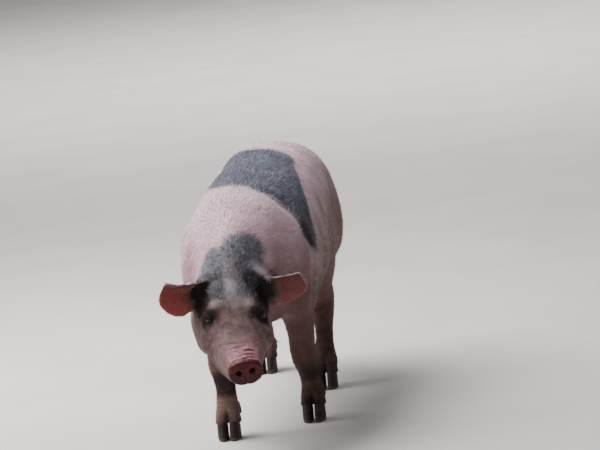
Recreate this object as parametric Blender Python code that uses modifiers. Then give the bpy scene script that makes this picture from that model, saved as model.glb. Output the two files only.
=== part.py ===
"""A young piebald pig in mid walk, life size, as a still display model.

The nose points to -Y and the pig's left side is +X. The floor is Z = 0. The
flesh is lofted in a few soft forms, fused into one body, and then parted with
thin cuts where a person would name the pieces. Eyes, claws and dewclaws are
solids of their own.
"""

import math

import bmesh
import bpy
import numpy as np
from mathutils import Euler, Matrix, Vector

# ---- driving sizes, in metres -------------------------------------------------
FORE_Y = -0.265  # where the two forefeet would stand if the pig stood square
HIND_Y = 0.235  # the same for the two hind feet
BUTTOCK_Y = 0.362  # the back of the hams
GAP = 0.0004  # the cut between two neighbouring pieces
FUSE_VOXEL = 0.0038
BODY_TRIANGLES = 4000

HEAD_LENGTH = 0.262  # occiput to snout disc
HEAD_AT = Vector((-0.033, -0.372, 0.304))  # the head's joint with the neck
HEAD_TURN = Euler((math.radians(24.3), math.radians(2.6), math.radians(15.2)))

EYE_RADIUS = 0.0112
EYE_AT = Vector((0.0490, -0.1100, 0.0300))  # in the head's own axes
MOUTH_Z = -0.034  # the mouth line, in the head's own axes
EAR_AT = Vector((0.0570, -0.0180, 0.0700))  # where its upper edge leaves the head
EAR_FORWARD = math.radians(26)
EAR_LIFT = math.radians(9)
EAR_THICKNESS = 0.0045
NOSTRIL_AT = Vector((0.0135, -0.2640, -0.0010))
DISC_TWIST = math.radians(-8)  # the mobile disc is lifted on the pig's left

CLAW_HEIGHT = 0.031  # at the middle of the claw; the coronet rises forward
CLAW_HALF_WIDTH = 0.0113
CLAW_SPREAD = 0.0130  # a claw's distance from the middle of its foot
FETLOCK_Z = 0.070

SIDES = {"left": 1, "right": -1}

COLOURS = {
    "pink skin": (0.62, 0.42, 0.41),
    "snout skin": (0.45, 0.22, 0.22),
    "horn": (0.10, 0.075, 0.06),
    "eye": (0.03, 0.015, 0.01),
}


# ---- shared helpers ------------------------------------------------------------
def clear_scene():
    for thing in list(bpy.data.objects):
        bpy.data.objects.remove(thing)


def material(name, roughness):
    made = bpy.data.materials.get(name)
    if made is None:
        made = bpy.data.materials.new(name)
        made.use_nodes = True
        shader = made.node_tree.nodes["Principled BSDF"]
        shader.inputs["Base Color"].default_value = (*COLOURS[name], 1)
        shader.inputs["Roughness"].default_value = roughness
        shader.inputs["Metallic"].default_value = 0.0
    return made


def add_object(name, mesh_or_bmesh, collection):
    if isinstance(mesh_or_bmesh, bmesh.types.BMesh):
        mesh = bpy.data.meshes.new(name)
        bmesh.ops.recalc_face_normals(mesh_or_bmesh, faces=mesh_or_bmesh.faces)
        mesh_or_bmesh.to_mesh(mesh)
        mesh_or_bmesh.free()
    else:
        mesh = mesh_or_bmesh
    made = bpy.data.objects.new(name, mesh)
    collection.objects.link(made)
    return made


def smooth_rows(rows, steps):
    """Passes a Catmull-Rom curve through every column of the rows."""
    rows = np.array(rows, float)
    padded = np.vstack([2 * rows[0] - rows[1], rows, 2 * rows[-1] - rows[-2]])
    made = []
    for before, start, end, after in zip(padded, padded[1:], padded[2:], padded[3:]):
        for step in range(steps):
            t = step / steps
            made.append(
                0.5
                * (
                    2 * start
                    + (end - before) * t
                    + (2 * before - 5 * start + 4 * end - after) * t**2
                    + (3 * start - before - 3 * end + after) * t**3
                )
            )
    made.append(rows[-1])
    return np.array(made)


def loft(name, stations, collection, steps=4, count=28, side=(1, 0, 0)):
    """Skins a closed body over stations along a bent path.

    A station is (x, y, z, half width, rise, drop, fullness, flare). Fullness 2
    is an ellipse and more is squarer; a negative flare is wider below.
    """
    rows = smooth_rows(stations, steps)
    centres = rows[:, :3]
    tangents = np.gradient(centres, axis=0)
    shape = bmesh.new()
    rings = []
    for centre, tangent, row in zip(centres, tangents, rows):
        along = Vector(tangent).normalized()
        across = Vector(side)
        across = (across - along * across.dot(along)).normalized()
        over = along.cross(across)
        half_width, rise, drop, fullness, flare = (float(v) for v in row[3:])
        ring = []
        for k in range(count):
            angle = 2 * math.pi * k / count
            cos, sin = math.cos(angle), math.sin(angle)
            u = math.copysign(abs(cos) ** (2 / fullness), cos)
            v = math.copysign(abs(sin) ** (2 / fullness), sin)
            out = across * (half_width * u * (1 + flare * v))
            up = over * ((rise if v > 0 else drop) * v)
            ring.append(shape.verts.new(Vector(centre) + out + up))
        rings.append(ring)
    for ring, following in zip(rings, rings[1:]):
        for k in range(count):
            n = (k + 1) % count
            shape.faces.new((ring[k], ring[n], following[n], following[k]))
    shape.faces.new(rings[0])
    shape.faces.new(rings[-1])
    return add_object(name, shape, collection)


def mass(name, centre, radii, turn, collection):
    """An egg of muscle or fat: a sphere stretched to three radii and turned."""
    shape = bmesh.new()
    bmesh.ops.create_icosphere(shape, subdivisions=4, radius=1)
    turned = Euler([math.radians(a) for a in turn]).to_matrix().to_4x4()
    place = Matrix.Translation(centre) @ turned @ Matrix.Diagonal((*radii, 1))
    shape.transform(place)
    return add_object(name, shape, collection)


def modified_mesh(thing):
    """The mesh that an object's modifiers give, as a new mesh."""
    bpy.context.view_layer.update()
    graph = bpy.context.evaluated_depsgraph_get()
    return bpy.data.meshes.new_from_object(thing.evaluated_get(graph), depsgraph=graph)


def settle(thing):
    """Applies an object's modifiers."""
    mesh = modified_mesh(thing)
    thing.modifiers.clear()
    thing.data = mesh
    return thing


def boolean(thing, other, operation):
    step = thing.modifiers.new(operation.lower(), "BOOLEAN")
    step.operation = operation
    step.object = other
    step.solver = "EXACT"
    settle(thing)
    return thing


def joined(name, things, collection):
    """One object from several, whose bodies still overlap."""
    shape = bmesh.new()
    for thing in things:
        mesh = thing.data.copy()
        mesh.transform(thing.matrix_world)
        shape.from_mesh(mesh)
        bpy.data.objects.remove(thing)
    mesh = bpy.data.meshes.new(name)
    shape.to_mesh(mesh)
    shape.free()
    return add_object(name, mesh, collection)


def head_matrix():
    return Matrix.Translation(HEAD_AT) @ HEAD_TURN.to_matrix().to_4x4()


def in_head(thing):
    thing.data.transform(head_matrix())
    return thing


# ---- trunk, neck and their muscles ---------------------------------------------
def trunk_form(work):
    """Rump to poll: one deep barrel that narrows into a short, thick neck."""
    stations = [
        # x, y, z, half width, rise, drop, fullness, flare
        (0.002, 0.392, 0.430, 0.030, 0.040, 0.045, 2.0, 0.00),
        (0.002, 0.366, 0.420, 0.078, 0.082, 0.080, 2.0, 0.00),
        (0.002, 0.305, 0.408, 0.110, 0.118, 0.108, 2.2, -0.06),
        (0.002, 0.220, 0.400, 0.127, 0.142, 0.128, 2.4, -0.10),
        (0.002, 0.120, 0.391, 0.133, 0.155, 0.146, 2.4, -0.10),
        (0.000, 0.010, 0.383, 0.139, 0.159, 0.164, 2.3, -0.10),
        (0.000, -0.100, 0.378, 0.142, 0.155, 0.168, 2.3, -0.08),
        (0.000, -0.190, 0.374, 0.139, 0.148, 0.156, 2.2, -0.06),
        (-0.002, -0.265, 0.368, 0.132, 0.141, 0.140, 2.1, -0.06),
        (-0.006, -0.325, 0.350, 0.108, 0.121, 0.122, 2.0, -0.08),
        (-0.020, -0.366, 0.324, 0.086, 0.099, 0.106, 2.0, -0.10),
        (-0.034, -0.400, 0.302, 0.062, 0.074, 0.086, 2.0, -0.05),
    ]
    return loft("trunk_form", stations, work, steps=4, count=48)


def muscle_forms(work):
    """Shoulder blades, upper arms, breast and hams, a pair of each."""
    masses = {
        # x, y, z, then the three radii, then the turn about X, Y and Z
        "blade": ((0.082, -0.248, 0.378), (0.060, 0.092, 0.112), (-16, -14, 0)),
        "arm": ((0.094, -0.262, 0.300), (0.046, 0.072, 0.074), (24, 4, 0)),
        "breast": ((0.044, -0.348, 0.306), (0.050, 0.050, 0.066), (20, 0, 0)),
        "ham": ((0.070, 0.240, 0.378), (0.068, 0.118, 0.118), (-8, -8, 0)),
        "seat": ((0.050, 0.305, 0.385), (0.050, 0.085, 0.090), (-14, 0, 0)),
    }
    made = []
    for side, s in SIDES.items():
        for name, (centre, radii, turn) in masses.items():
            at = Vector((s * centre[0], centre[1], centre[2]))
            turned = (turn[0], s * turn[1], s * turn[2])
            made.append(mass(f"{name}_{side}", at, radii, turned, work))
    return made


# ---- head ----------------------------------------------------------------------
def skull_form(work):
    """Poll to snout disc, in the head's axes: jowls behind, a dished nose."""
    stations = [
        # x, y, z, half width, rise, drop, fullness, flare
        (0, 0.040, -0.012, 0.056, 0.056, 0.066, 2.0, -0.05),
        (0, 0.010, -0.008, 0.074, 0.078, 0.080, 2.1, -0.12),
        (0, -0.028, -0.008, 0.080, 0.086, 0.084, 2.2, -0.14),
        (0, -0.065, -0.008, 0.078, 0.082, 0.082, 2.3, -0.13),
        (0, -0.097, -0.008, 0.072, 0.069, 0.074, 2.3, -0.12),
        (0, -0.128, -0.008, 0.064, 0.052, 0.064, 2.3, -0.10),
        (0, -0.162, -0.008, 0.054, 0.038, 0.052, 2.3, -0.06),
        (0, -0.197, -0.007, 0.046, 0.030, 0.041, 2.3, -0.02),
        (0, -0.228, -0.005, 0.039, 0.026, 0.031, 2.3, 0.00),
        (0, -0.248, -0.004, 0.034, 0.024, 0.026, 2.3, 0.00),
    ]
    return in_head(loft("skull_form", stations, work, steps=4, count=40))


def jaw_form(work):
    """The lower jaw, set back from the snout disc, with a rounded chin."""
    stations = [
        (0, -0.010, -0.060, 0.060, 0.030, 0.038, 2.0, -0.10),
        (0, -0.055, -0.061, 0.057, 0.030, 0.042, 2.1, -0.08),
        (0, -0.100, -0.059, 0.053, 0.028, 0.039, 2.1, -0.05),
        (0, -0.145, -0.053, 0.046, 0.024, 0.034, 2.1, 0.00),
        (0, -0.185, -0.046, 0.036, 0.020, 0.028, 2.1, 0.00),
        (0, -0.214, -0.040, 0.028, 0.016, 0.021, 2.0, 0.00),
        (0, -0.230, -0.035, 0.017, 0.010, 0.012, 2.0, 0.00),
    ]
    return in_head(loft("jaw_form", stations, work, steps=4, count=28))


def snout_disc(work):
    """The flat rooting disc: a short oval plate, leaning back a little below."""
    stations = [
        (0, -0.238, -0.0050, 0.0340, 0.0245, 0.0265, 2.3, 0.00),
        (0, -0.2470, -0.0048, 0.0345, 0.0272, 0.0280, 2.3, 0.04),
        (0, -0.2560, -0.0046, 0.0350, 0.0282, 0.0280, 2.3, 0.05),
        (0, -HEAD_LENGTH, -0.0045, 0.0335, 0.0268, 0.0265, 2.3, 0.05),
    ]
    made = loft("snout_disc", stations, work, steps=3, count=36)
    made.data.transform(Matrix.Rotation(DISC_TWIST, 4, "Y"))
    return in_head(made)


def face_masses(work):
    """Brows, cheekbones, jowls and the bases that carry the ears."""
    masses = {
        "brow": ((0.0370, -0.0880, 0.0390), (0.021, 0.034, 0.014), (-22, 18, 10)),
        "cheek": ((0.0510, -0.1120, -0.0080), (0.021, 0.048, 0.028), (8, 0, 14)),
        "jowl": ((0.0410, -0.0500, -0.0440), (0.034, 0.058, 0.042), (0, 0, 10)),
        "ear_base": ((0.0470, -0.0060, 0.0480), (0.024, 0.028, 0.028), (0, 20, 0)),
    }
    made = []
    for side, s in SIDES.items():
        for name, (centre, radii, turn) in masses.items():
            at = Vector((s * centre[0], centre[1], centre[2]))
            turned = (turn[0], s * turn[1], s * turn[2])
            made.append(in_head(mass(f"{name}_{side}", at, radii, turned, work)))
    return made


# ---- legs ------------------------------------------------------------------------
# Where each leg stands: its foot's X and Y, then the Y of its knee or hock and of
# its elbow or stifle. The right foreleg reaches out and the right hind leg trails.
LEGS = {
    ("fore", "left"): (0.091, FORE_Y + 0.068, FORE_Y + 0.030, FORE_Y + 0.030),
    ("fore", "right"): (-0.073, FORE_Y - 0.045, FORE_Y - 0.022, FORE_Y + 0.018),
    ("hind", "left"): (0.080, HIND_Y - 0.112, HIND_Y - 0.035, HIND_Y - 0.150),
    ("hind", "right"): (-0.086, HIND_Y + 0.113, HIND_Y + 0.142, HIND_Y - 0.070),
}


def foreleg_form(side, foot_x, foot_y, knee_y, elbow_y, work):
    """Upper arm to fetlock. The knee is the pig's wrist."""
    s = SIDES[side]
    mid_x = (foot_x + s * 0.084) / 2
    stations = [
        # x, y, z, half width, front, back, fullness, flare
        (s * 0.078, elbow_y - 0.015, 0.345, 0.040, 0.062, 0.060, 2.0, 0),
        (s * 0.085, elbow_y, 0.285, 0.040, 0.056, 0.060, 2.0, 0),
        (s * 0.085, 0.7 * elbow_y + 0.3 * knee_y, 0.237, 0.0350, 0.044, 0.048, 2.1, 0),
        (mid_x, 0.35 * elbow_y + 0.65 * knee_y, 0.192, 0.0280, 0.033, 0.033, 2.2, 0),
        (mid_x, knee_y, 0.153, 0.0270, 0.031, 0.027, 2.3, 0),
        (foot_x, 0.8 * knee_y + 0.2 * foot_y, 0.134, 0.0255, 0.029, 0.026, 2.3, 0),
        (foot_x, 0.4 * knee_y + 0.6 * foot_y + 0.010, 0.102, 0.0215, 0.0225, 0.0235, 2.2, 0),
        (foot_x, foot_y + 0.014, FETLOCK_Z, 0.0235, 0.0245, 0.0260, 2.1, 0),
        (foot_x, foot_y + 0.008, 0.052, 0.0225, 0.0230, 0.0250, 2.1, 0),
    ]
    return [loft(f"foreleg_form_{side}", stations, work, steps=4, count=24)]


def hind_leg_form(side, foot_x, foot_y, hock_y, stifle_y, work):
    """Thigh to fetlock, bent forward at the stifle and back at the hock."""
    s = SIDES[side]
    trail = hock_y - HIND_Y  # a leg left behind draws the back of its thigh with it
    mid_x = (foot_x + s * 0.084) / 2
    stations = [
        # x, y, z, half width, front, back, fullness, flare
        (s * 0.072, 0.6 * stifle_y + 0.4 * HIND_Y, 0.400, 0.060, 0.100, 0.105, 2.0, 0),
        (s * 0.084, 0.72 * stifle_y + 0.28 * hock_y, 0.330, 0.050, 0.084, 0.092 + 0.12 * trail, 2.0, 0),
        (s * 0.087, 0.54 * stifle_y + 0.46 * hock_y, 0.275, 0.039, 0.056, 0.066 + 0.16 * trail, 2.1, 0),
        (mid_x, 0.26 * stifle_y + 0.74 * hock_y, 0.226, 0.0285, 0.035, 0.043 + 0.05 * trail, 2.1, 0),
        (mid_x, hock_y, 0.186, 0.0245, 0.028, 0.036, 2.2, 0),
        (foot_x, 0.75 * hock_y + 0.25 * foot_y + 0.001, 0.155, 0.0240, 0.027, 0.029, 2.2, 0),
        (foot_x, 0.40 * hock_y + 0.60 * foot_y + 0.010, 0.112, 0.0215, 0.0225, 0.0240, 2.2, 0),
        (foot_x, foot_y + 0.016, FETLOCK_Z, 0.0232, 0.0245, 0.0260, 2.1, 0),
        (foot_x, foot_y + 0.009, 0.052, 0.0222, 0.0230, 0.0250, 2.1, 0),
    ]
    thigh_at = Vector((s * 0.078, (stifle_y + BUTTOCK_Y) / 2, 0.325))
    thigh_size = (0.048, (BUTTOCK_Y - stifle_y) / 2 + 0.020, 0.070)
    thigh = mass(f"thigh_{side}", thigh_at, thigh_size, (6, 0, 0), work)
    return [thigh, loft(f"hind_leg_form_{side}", stations, work, steps=4, count=24)]


def toe_forms(name, foot_x, foot_y, work):
    """The flesh of the two toes, and the buds that carry the dewclaws."""
    made = []
    for t in (-1, 1):
        x = foot_x + t * CLAW_SPREAD
        toe = [
            (foot_x + t * 0.008, foot_y + 0.014, 0.074, 0.014, 0.018, 0.020, 2.0, 0),
            (x, foot_y + 0.009, 0.054, 0.0135, 0.0195, 0.0210, 2.1, 0),
            (x, foot_y + 0.004, 0.040, 0.0130, 0.0205, 0.0220, 2.2, 0),
            (x, foot_y + 0.001, 0.026, 0.0125, 0.0200, 0.0210, 2.2, 0),
            (x, foot_y - 0.001, 0.012, 0.0080, 0.0120, 0.0140, 2.0, 0),
        ]
        made.append(loft(f"toe_{name}_{t}", toe, work, steps=3, count=18))
        bud = Vector((foot_x + t * 0.0165, foot_y + 0.034, 0.062))
        made.append(mass(f"bud_{name}_{t}", bud, (0.0100, 0.0125, 0.0120), (20, 0, 0), work))
    return made


# ---- claws -----------------------------------------------------------------------
def coronet(foot_x, foot_y):
    """The sloping plane where skin gives way to horn, as a place for a box's top."""
    middle = Vector((foot_x, foot_y, CLAW_HEIGHT))
    return Matrix.Translation(middle) @ Matrix.Rotation(math.radians(-16), 4, "X")


def claw_form(name, x, foot_y, t, parts):
    """One toe's horn: a flat sole, a sloping front wall and a rounded heel."""
    stations = [
        # x, y, z, half width, rear, front, fullness, flare
        (x, foot_y - 0.0035, -0.006, 0.80, 0.0200, 0.0225, 2.4, 0),
        (x, foot_y - 0.0028, 0.0040, 1.02, 0.0242, 0.0266, 2.4, 0),
        (x, foot_y + 0.0020, 0.0300, 1.00, 0.0225, 0.0215, 2.4, 0),
        (x, foot_y + 0.0050, 0.0500, 0.90, 0.0200, 0.0180, 2.4, 0),
    ]
    stations = [(*row[:3], row[3] * CLAW_HALF_WIDTH, *row[4:]) for row in stations]
    made = loft(name, stations, parts, steps=1, count=12)
    for vertex in made.data.vertices:  # the toe narrows to its tip and turns in
        ahead = max(0.0, (foot_y - 0.002 - vertex.co.y) / 0.028)
        narrowed = (vertex.co.x - x) * (1 - 0.42 * ahead**2)
        vertex.co.x = x + narrowed - t * 0.0035 * ahead**2
    return made


def dewclaw_form(name, at, t, parts):
    """A small hind claw, held clear of the floor behind the foot."""
    out, down = Vector((t * 0.10, 0.50, 0)), Vector((0, 0, -0.86))
    stations = []
    for reach, radius in ((-0.008, 0.0035), (0.001, 0.0072), (0.009, 0.0074), (0.018, 0.0042)):
        stations.append((*(at + (out + down) * reach), 0.85 * radius, radius, radius, 2.2, 0))
    return loft(name, stations, parts, steps=1, count=8)


# ---- ears and tail ---------------------------------------------------------------
def ear_form(name, s, parts):
    """A broad half-lop ear that stands out sideways, its hollow facing forward.

    A station is (distance out from the root, upper edge, lower edge, how far
    the two edges curl forward). The back edge hangs and the upper one is level.
    """
    stations = [
        (-0.008, 0.020, -0.027, 0.022),
        (0.005, 0.0195, -0.031, 0.020),
        (0.020, 0.0165, -0.041, 0.016),
        (0.040, 0.0120, -0.051, 0.012),
        (0.062, 0.0115, -0.050, 0.009),
        (0.080, 0.0160, -0.042, 0.007),
        (0.091, 0.0190, -0.033, 0.005),
        (0.097, 0.0040, -0.027, 0.004),
        (0.1005, -0.009, -0.018, 0.003),
    ]
    rows = smooth_rows(stations, 1)
    columns = 8
    shape = bmesh.new()
    grid = []
    for out, upper, lower, curl in rows:
        line = []
        for j in range(columns + 1):
            v = -1 + 2 * j / columns
            height = (upper + lower) / 2 + (upper - lower) / 2 * v
            forward = curl * abs(v) ** 2.4
            line.append(shape.verts.new((s * out, -forward, height)))
        grid.append(line)
    for inner, outer in zip(grid, grid[1:]):
        for j in range(columns):
            shape.faces.new((inner[j], inner[j + 1], outer[j + 1], outer[j]))
    made = add_object(name, shape, parts)
    wall = made.modifiers.new("thickness", "SOLIDIFY")
    wall.thickness = EAR_THICKNESS
    wall.offset = 0
    settle(made)
    root = Matrix.Translation((s * EAR_AT.x, EAR_AT.y, EAR_AT.z - 0.020))
    turn = Matrix.Rotation(-s * EAR_FORWARD, 4, "Z") @ Matrix.Rotation(-s * EAR_LIFT, 4, "Y")
    made.data.transform(head_matrix() @ root @ turn)
    return made


def tail_form(parts):
    """A thin tail that leaves the rump, hangs, and turns once before its tip."""
    start = Vector((0.0, 0.365, 0.462))
    turns, loop = 1.2, 0.021
    stations = []
    for i in range(21):
        u = i / 20
        bow = math.sin(min(1.0, u / 0.34) * math.pi / 2)
        curl = max(0.0, u - 0.20) / 0.80
        angle = 2 * math.pi * turns * curl
        wide = loop * min(1.0, curl * 2.5)
        x = wide * math.sin(angle) + 0.020 * curl
        y = start.y + 0.052 * bow + 0.55 * wide * (1 - math.cos(angle))
        z = start.z + 0.010 * math.sin(bow * math.pi) - 0.115 * u**1.25
        z += 0.25 * wide * (1 - math.cos(angle))
        radius = 0.0125 * (1 - u) ** 0.9 + 0.0036
        stations.append((x, y, z, radius, radius, radius, 2.0, 0))
    return loft("tail", stations, parts, steps=1, count=8, side=(0.85, 0.15, 0.5))


# ---- fusing and parting --------------------------------------------------------------
def fuse(forms, parts):
    """Fuses the soft forms, then eases the creases where they meet."""
    body = joined("trunk", forms, parts)
    remesh = body.modifiers.new("fuse", "REMESH")
    remesh.mode = "VOXEL"
    remesh.voxel_size = FUSE_VOXEL
    remesh.adaptivity = 0
    settle(body)
    to_head = head_matrix().inverted()
    ease = body.vertex_groups.new(name="ease")
    even = body.vertex_groups.new(name="even")
    for vertex in body.data.vertices:
        ahead = -(to_head @ vertex.co).y
        down_face = min(1, max(0, (ahead + 0.03) / 0.08))
        above_legs = min(1, max(0, (vertex.co.z - 0.20) / 0.10))
        ease.add([vertex.index], (1 - down_face) * above_legs, "REPLACE")
        at_disc = min(1, max(0, (ahead - 0.215) / 0.02))
        even.add([vertex.index], 1 - 0.8 * at_disc, "REPLACE")
    for name, iterations, group in (("soften", 90, "ease"), ("polish", 12, "even")):
        step = body.modifiers.new(name, "SMOOTH")
        step.factor = 0.5
        step.iterations = iterations
        step.vertex_group = group
    fewer = body.modifiers.new("fewer faces", "DECIMATE")
    fewer.ratio = BODY_TRIANGLES / (2 * len(body.data.polygons))
    settle(body)
    body.vertex_groups.clear()
    body.data.materials.clear()
    return body


def box(size, place, work):
    """A cutter: a box about a place, whose own axes are turned with it."""
    bpy.ops.mesh.primitive_cube_add(size=1)
    made = bpy.context.object
    made.name = "cutter"
    for collection in list(made.users_collection):
        collection.objects.unlink(made)
    work.objects.link(made)
    made.data.transform(place @ Matrix.Diagonal((*size, 1)))
    made.hide_render = True
    made.display_type = "WIRE"
    return made


def part_off(body, name, size, place, parts, work):
    """Takes what lies inside a box off the body, as an object of its own."""
    piece = add_object(name, body.data.copy(), parts)
    boolean(piece, box(size, place, work), "INTERSECT")
    boolean(body, box([length + 2 * GAP for length in size], place, work), "DIFFERENCE")
    return piece


def grown(thing, by, work):
    """A copy of a solid, a hair larger, to cut its neighbour with."""
    copy = add_object("cutter", thing.data.copy(), work)
    copy.hide_render = True
    copy.display_type = "WIRE"
    step = copy.modifiers.new("grow", "DISPLACE")
    step.strength = by
    step.mid_level = 0
    return settle(copy)


def ball(name, centre, radii, collection):
    bpy.ops.mesh.primitive_uv_sphere_add(segments=12, ring_count=8, radius=1)
    made = bpy.context.object
    made.name = name
    for holder in list(made.users_collection):
        holder.objects.unlink(made)
    collection.objects.link(made)
    made.data.transform(Matrix.Translation(centre) @ Matrix.Diagonal((*radii, 1)))
    return in_head(made)


def make_face(body, parts, work):
    """Sinks the nostrils, and sets each eye in its socket."""
    made = []
    for side, s in SIDES.items():
        nostril = Matrix.Rotation(DISC_TWIST, 3, "Y") @ Vector(
            (s * NOSTRIL_AT.x, NOSTRIL_AT.y, NOSTRIL_AT.z)
        )
        boolean(body, ball("cutter", nostril, (0.0060, 0.0120, 0.0082), work), "DIFFERENCE")
        centre = Vector((s * EYE_AT.x, EYE_AT.y, EYE_AT.z))
        socket = ball("cutter", centre, (EYE_RADIUS + GAP,) * 3, work)
        boolean(body, socket, "DIFFERENCE")
        made.append(ball(f"eye_{side}", centre, (EYE_RADIUS,) * 3, parts))
    return made


def part_head(body, parts, work):
    """Parts the lower jaw at the mouth, then the snout, the head and the neck."""
    head = head_matrix()
    mouth = head @ Matrix.Translation((0, -0.165, MOUTH_Z - 0.05))
    mouth = mouth @ Matrix.Rotation(math.radians(-4), 4, "X")
    made = [part_off(body, "lower_jaw", (0.2, 0.13, 0.1), mouth, parts, work)]
    snout = head @ Matrix.Translation((0, -0.290, 0))
    made.append(part_off(body, "snout", (0.2, 0.16, 0.2), snout, parts, work))
    for name, plane_y, lean, turn in (("head", -0.364, -10, 8), ("neck", -0.304, -14, 0)):
        plane = Matrix.Translation((0, plane_y, 0.34))
        plane = plane @ Matrix.Rotation(math.radians(turn), 4, "Z")
        plane = plane @ Matrix.Rotation(math.radians(lean), 4, "X")
        ahead = plane @ Matrix.Translation((0, -0.15, 0))
        made.append(part_off(body, name, (0.5, 0.3, 0.5), ahead, parts, work))
    return made


def part_legs(body, parts, work):
    """Parts each leg under the trunk, and each foot at its fetlock."""
    made = []
    tops = {"fore": 0.234, "hind": 0.258}
    ahead = {"fore": 0.050, "hind": 0.010}
    for (pair, side), (foot_x, foot_y, bend_y, root_y) in LEGS.items():
        s = SIDES[side]
        front = min(foot_y - 0.030, bend_y - 0.045, root_y - ahead[pair])
        back = max(foot_y + 0.055, bend_y + 0.055, root_y + 0.062)
        leg = Matrix.Translation((s * 0.10, (front + back) / 2, tops[pair] - 0.15))
        leg[2][0] = s * 0.48  # a sheared box, whose top rises outward to the armpit
        reach = (0.12, back - front, 0.30)
        piece = part_off(body, f"{pair}leg_{side}", reach, leg, parts, work)
        sole = coronet(foot_x, foot_y) @ Matrix.Translation((0, 0, -0.10))
        below = box((0.2, 0.2, 0.2 + 2 * GAP), sole, work)
        boolean(piece, below, "DIFFERENCE")
        foot = Matrix.Translation((foot_x, foot_y, FETLOCK_Z + 0.014 - 0.05))
        foot_piece = part_off(piece, f"{pair}foot_{side}", (0.2, 0.2, 0.1), foot, parts, work)
        made += [piece, foot_piece]
        for place, t in (("inner", -s), ("outer", s)):
            name = f"{pair}_{side}_{place}"
            horn = claw_form(f"claw_{name}", foot_x + t * CLAW_SPREAD, foot_y, t, parts)
            boolean(horn, box((0.2, 0.2, 0.2), sole, work), "INTERSECT")
            floor = Matrix.Translation((foot_x, foot_y, -0.05))
            boolean(horn, box((0.2, 0.2, 0.1), floor, work), "DIFFERENCE")
            at = Vector((foot_x + t * 0.0165, foot_y + 0.040, 0.058))
            spur = dewclaw_form(f"dewclaw_{name}", at, t, parts)
            boolean(spur, grown(foot_piece, GAP, work), "DIFFERENCE")
            made += [horn, spur]
    return made


def place_and_colour(pieces):
    """Gives each piece its material, and puts the model's middle at the origin."""
    points = np.array([vertex.co for piece in pieces for vertex in piece.data.vertices])
    low, high = Vector(points.min(axis=0)), Vector(points.max(axis=0))
    middle = (low + high) / 2
    for piece in pieces:
        piece.data.transform(Matrix.Translation((-middle.x, -middle.y, -low.z)))
        if "claw" in piece.name:
            made = material("horn", 0.45)
        elif piece.name.startswith("eye"):
            made = material("eye", 0.08)
        elif piece.name == "snout":
            made = material("snout skin", 0.4)
        else:
            made = material("pink skin", 0.6)
        piece.data.materials.clear()
        piece.data.materials.append(made)
        piece.data.shade_smooth()


def main():
    clear_scene()
    parts = bpy.data.collections.new("pig")
    work = bpy.data.collections.new("forms and cutters")
    for collection in (parts, work):
        bpy.context.scene.collection.children.link(collection)

    forms = [trunk_form(work), *muscle_forms(work)]
    forms += [skull_form(work), jaw_form(work), snout_disc(work), *face_masses(work)]
    for (pair, side), joints in LEGS.items():
        shape = foreleg_form if pair == "fore" else hind_leg_form
        forms += shape(side, *joints, work)
        forms += toe_forms(f"{pair}_{side}", *joints[:2], work)
    body = fuse(forms, parts)

    pieces = make_face(body, parts, work)
    pieces += part_legs(body, parts, work)
    pieces += part_head(body, parts, work)
    head = bpy.data.objects["head"]
    for side, s in SIDES.items():
        ear = ear_form(f"ear_{side}", s, parts)
        boolean(ear, grown(head, GAP, work), "DIFFERENCE")
        pieces.append(ear)
    tail = tail_form(parts)
    boolean(tail, grown(body, GAP, work), "DIFFERENCE")
    pieces += [body, tail]
    for cutter in list(work.objects):
        bpy.data.objects.remove(cutter)
    place_and_colour(pieces)


main()
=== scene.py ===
"""The looks of a young piebald pig in mid walk, a still life-size display model.

Metres, with the pig facing -Y, its left side to +X and the floor at Z = 0. One skin
stands for all the flesh, with eyes, claws and a sparse bristle coat of their own.
"""

import math

import bmesh
import bpy
import numpy as np
from mathutils import Euler, Matrix, Vector
from mathutils.bvhtree import BVHTree


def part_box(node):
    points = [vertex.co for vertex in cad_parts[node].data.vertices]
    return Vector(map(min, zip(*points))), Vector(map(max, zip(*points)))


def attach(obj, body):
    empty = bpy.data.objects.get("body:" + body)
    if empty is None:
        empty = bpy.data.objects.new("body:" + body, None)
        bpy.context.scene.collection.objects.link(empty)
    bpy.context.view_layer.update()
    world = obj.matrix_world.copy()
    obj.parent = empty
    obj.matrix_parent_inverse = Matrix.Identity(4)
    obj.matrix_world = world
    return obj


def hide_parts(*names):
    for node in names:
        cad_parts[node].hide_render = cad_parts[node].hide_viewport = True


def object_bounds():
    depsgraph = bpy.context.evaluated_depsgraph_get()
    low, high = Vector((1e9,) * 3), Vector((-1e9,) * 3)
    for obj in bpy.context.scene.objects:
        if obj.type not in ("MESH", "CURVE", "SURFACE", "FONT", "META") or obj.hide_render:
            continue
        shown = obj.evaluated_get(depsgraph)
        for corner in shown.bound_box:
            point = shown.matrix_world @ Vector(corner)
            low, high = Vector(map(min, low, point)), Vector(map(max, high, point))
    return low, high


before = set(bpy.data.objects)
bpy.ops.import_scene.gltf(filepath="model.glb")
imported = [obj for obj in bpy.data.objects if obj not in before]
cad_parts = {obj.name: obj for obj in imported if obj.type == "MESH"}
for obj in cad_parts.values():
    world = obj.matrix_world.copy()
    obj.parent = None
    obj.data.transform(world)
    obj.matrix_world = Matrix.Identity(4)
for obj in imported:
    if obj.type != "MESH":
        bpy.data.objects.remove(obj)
cad_low, cad_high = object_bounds()
bpy.ops.object.select_all(action="DESELECT")

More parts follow.
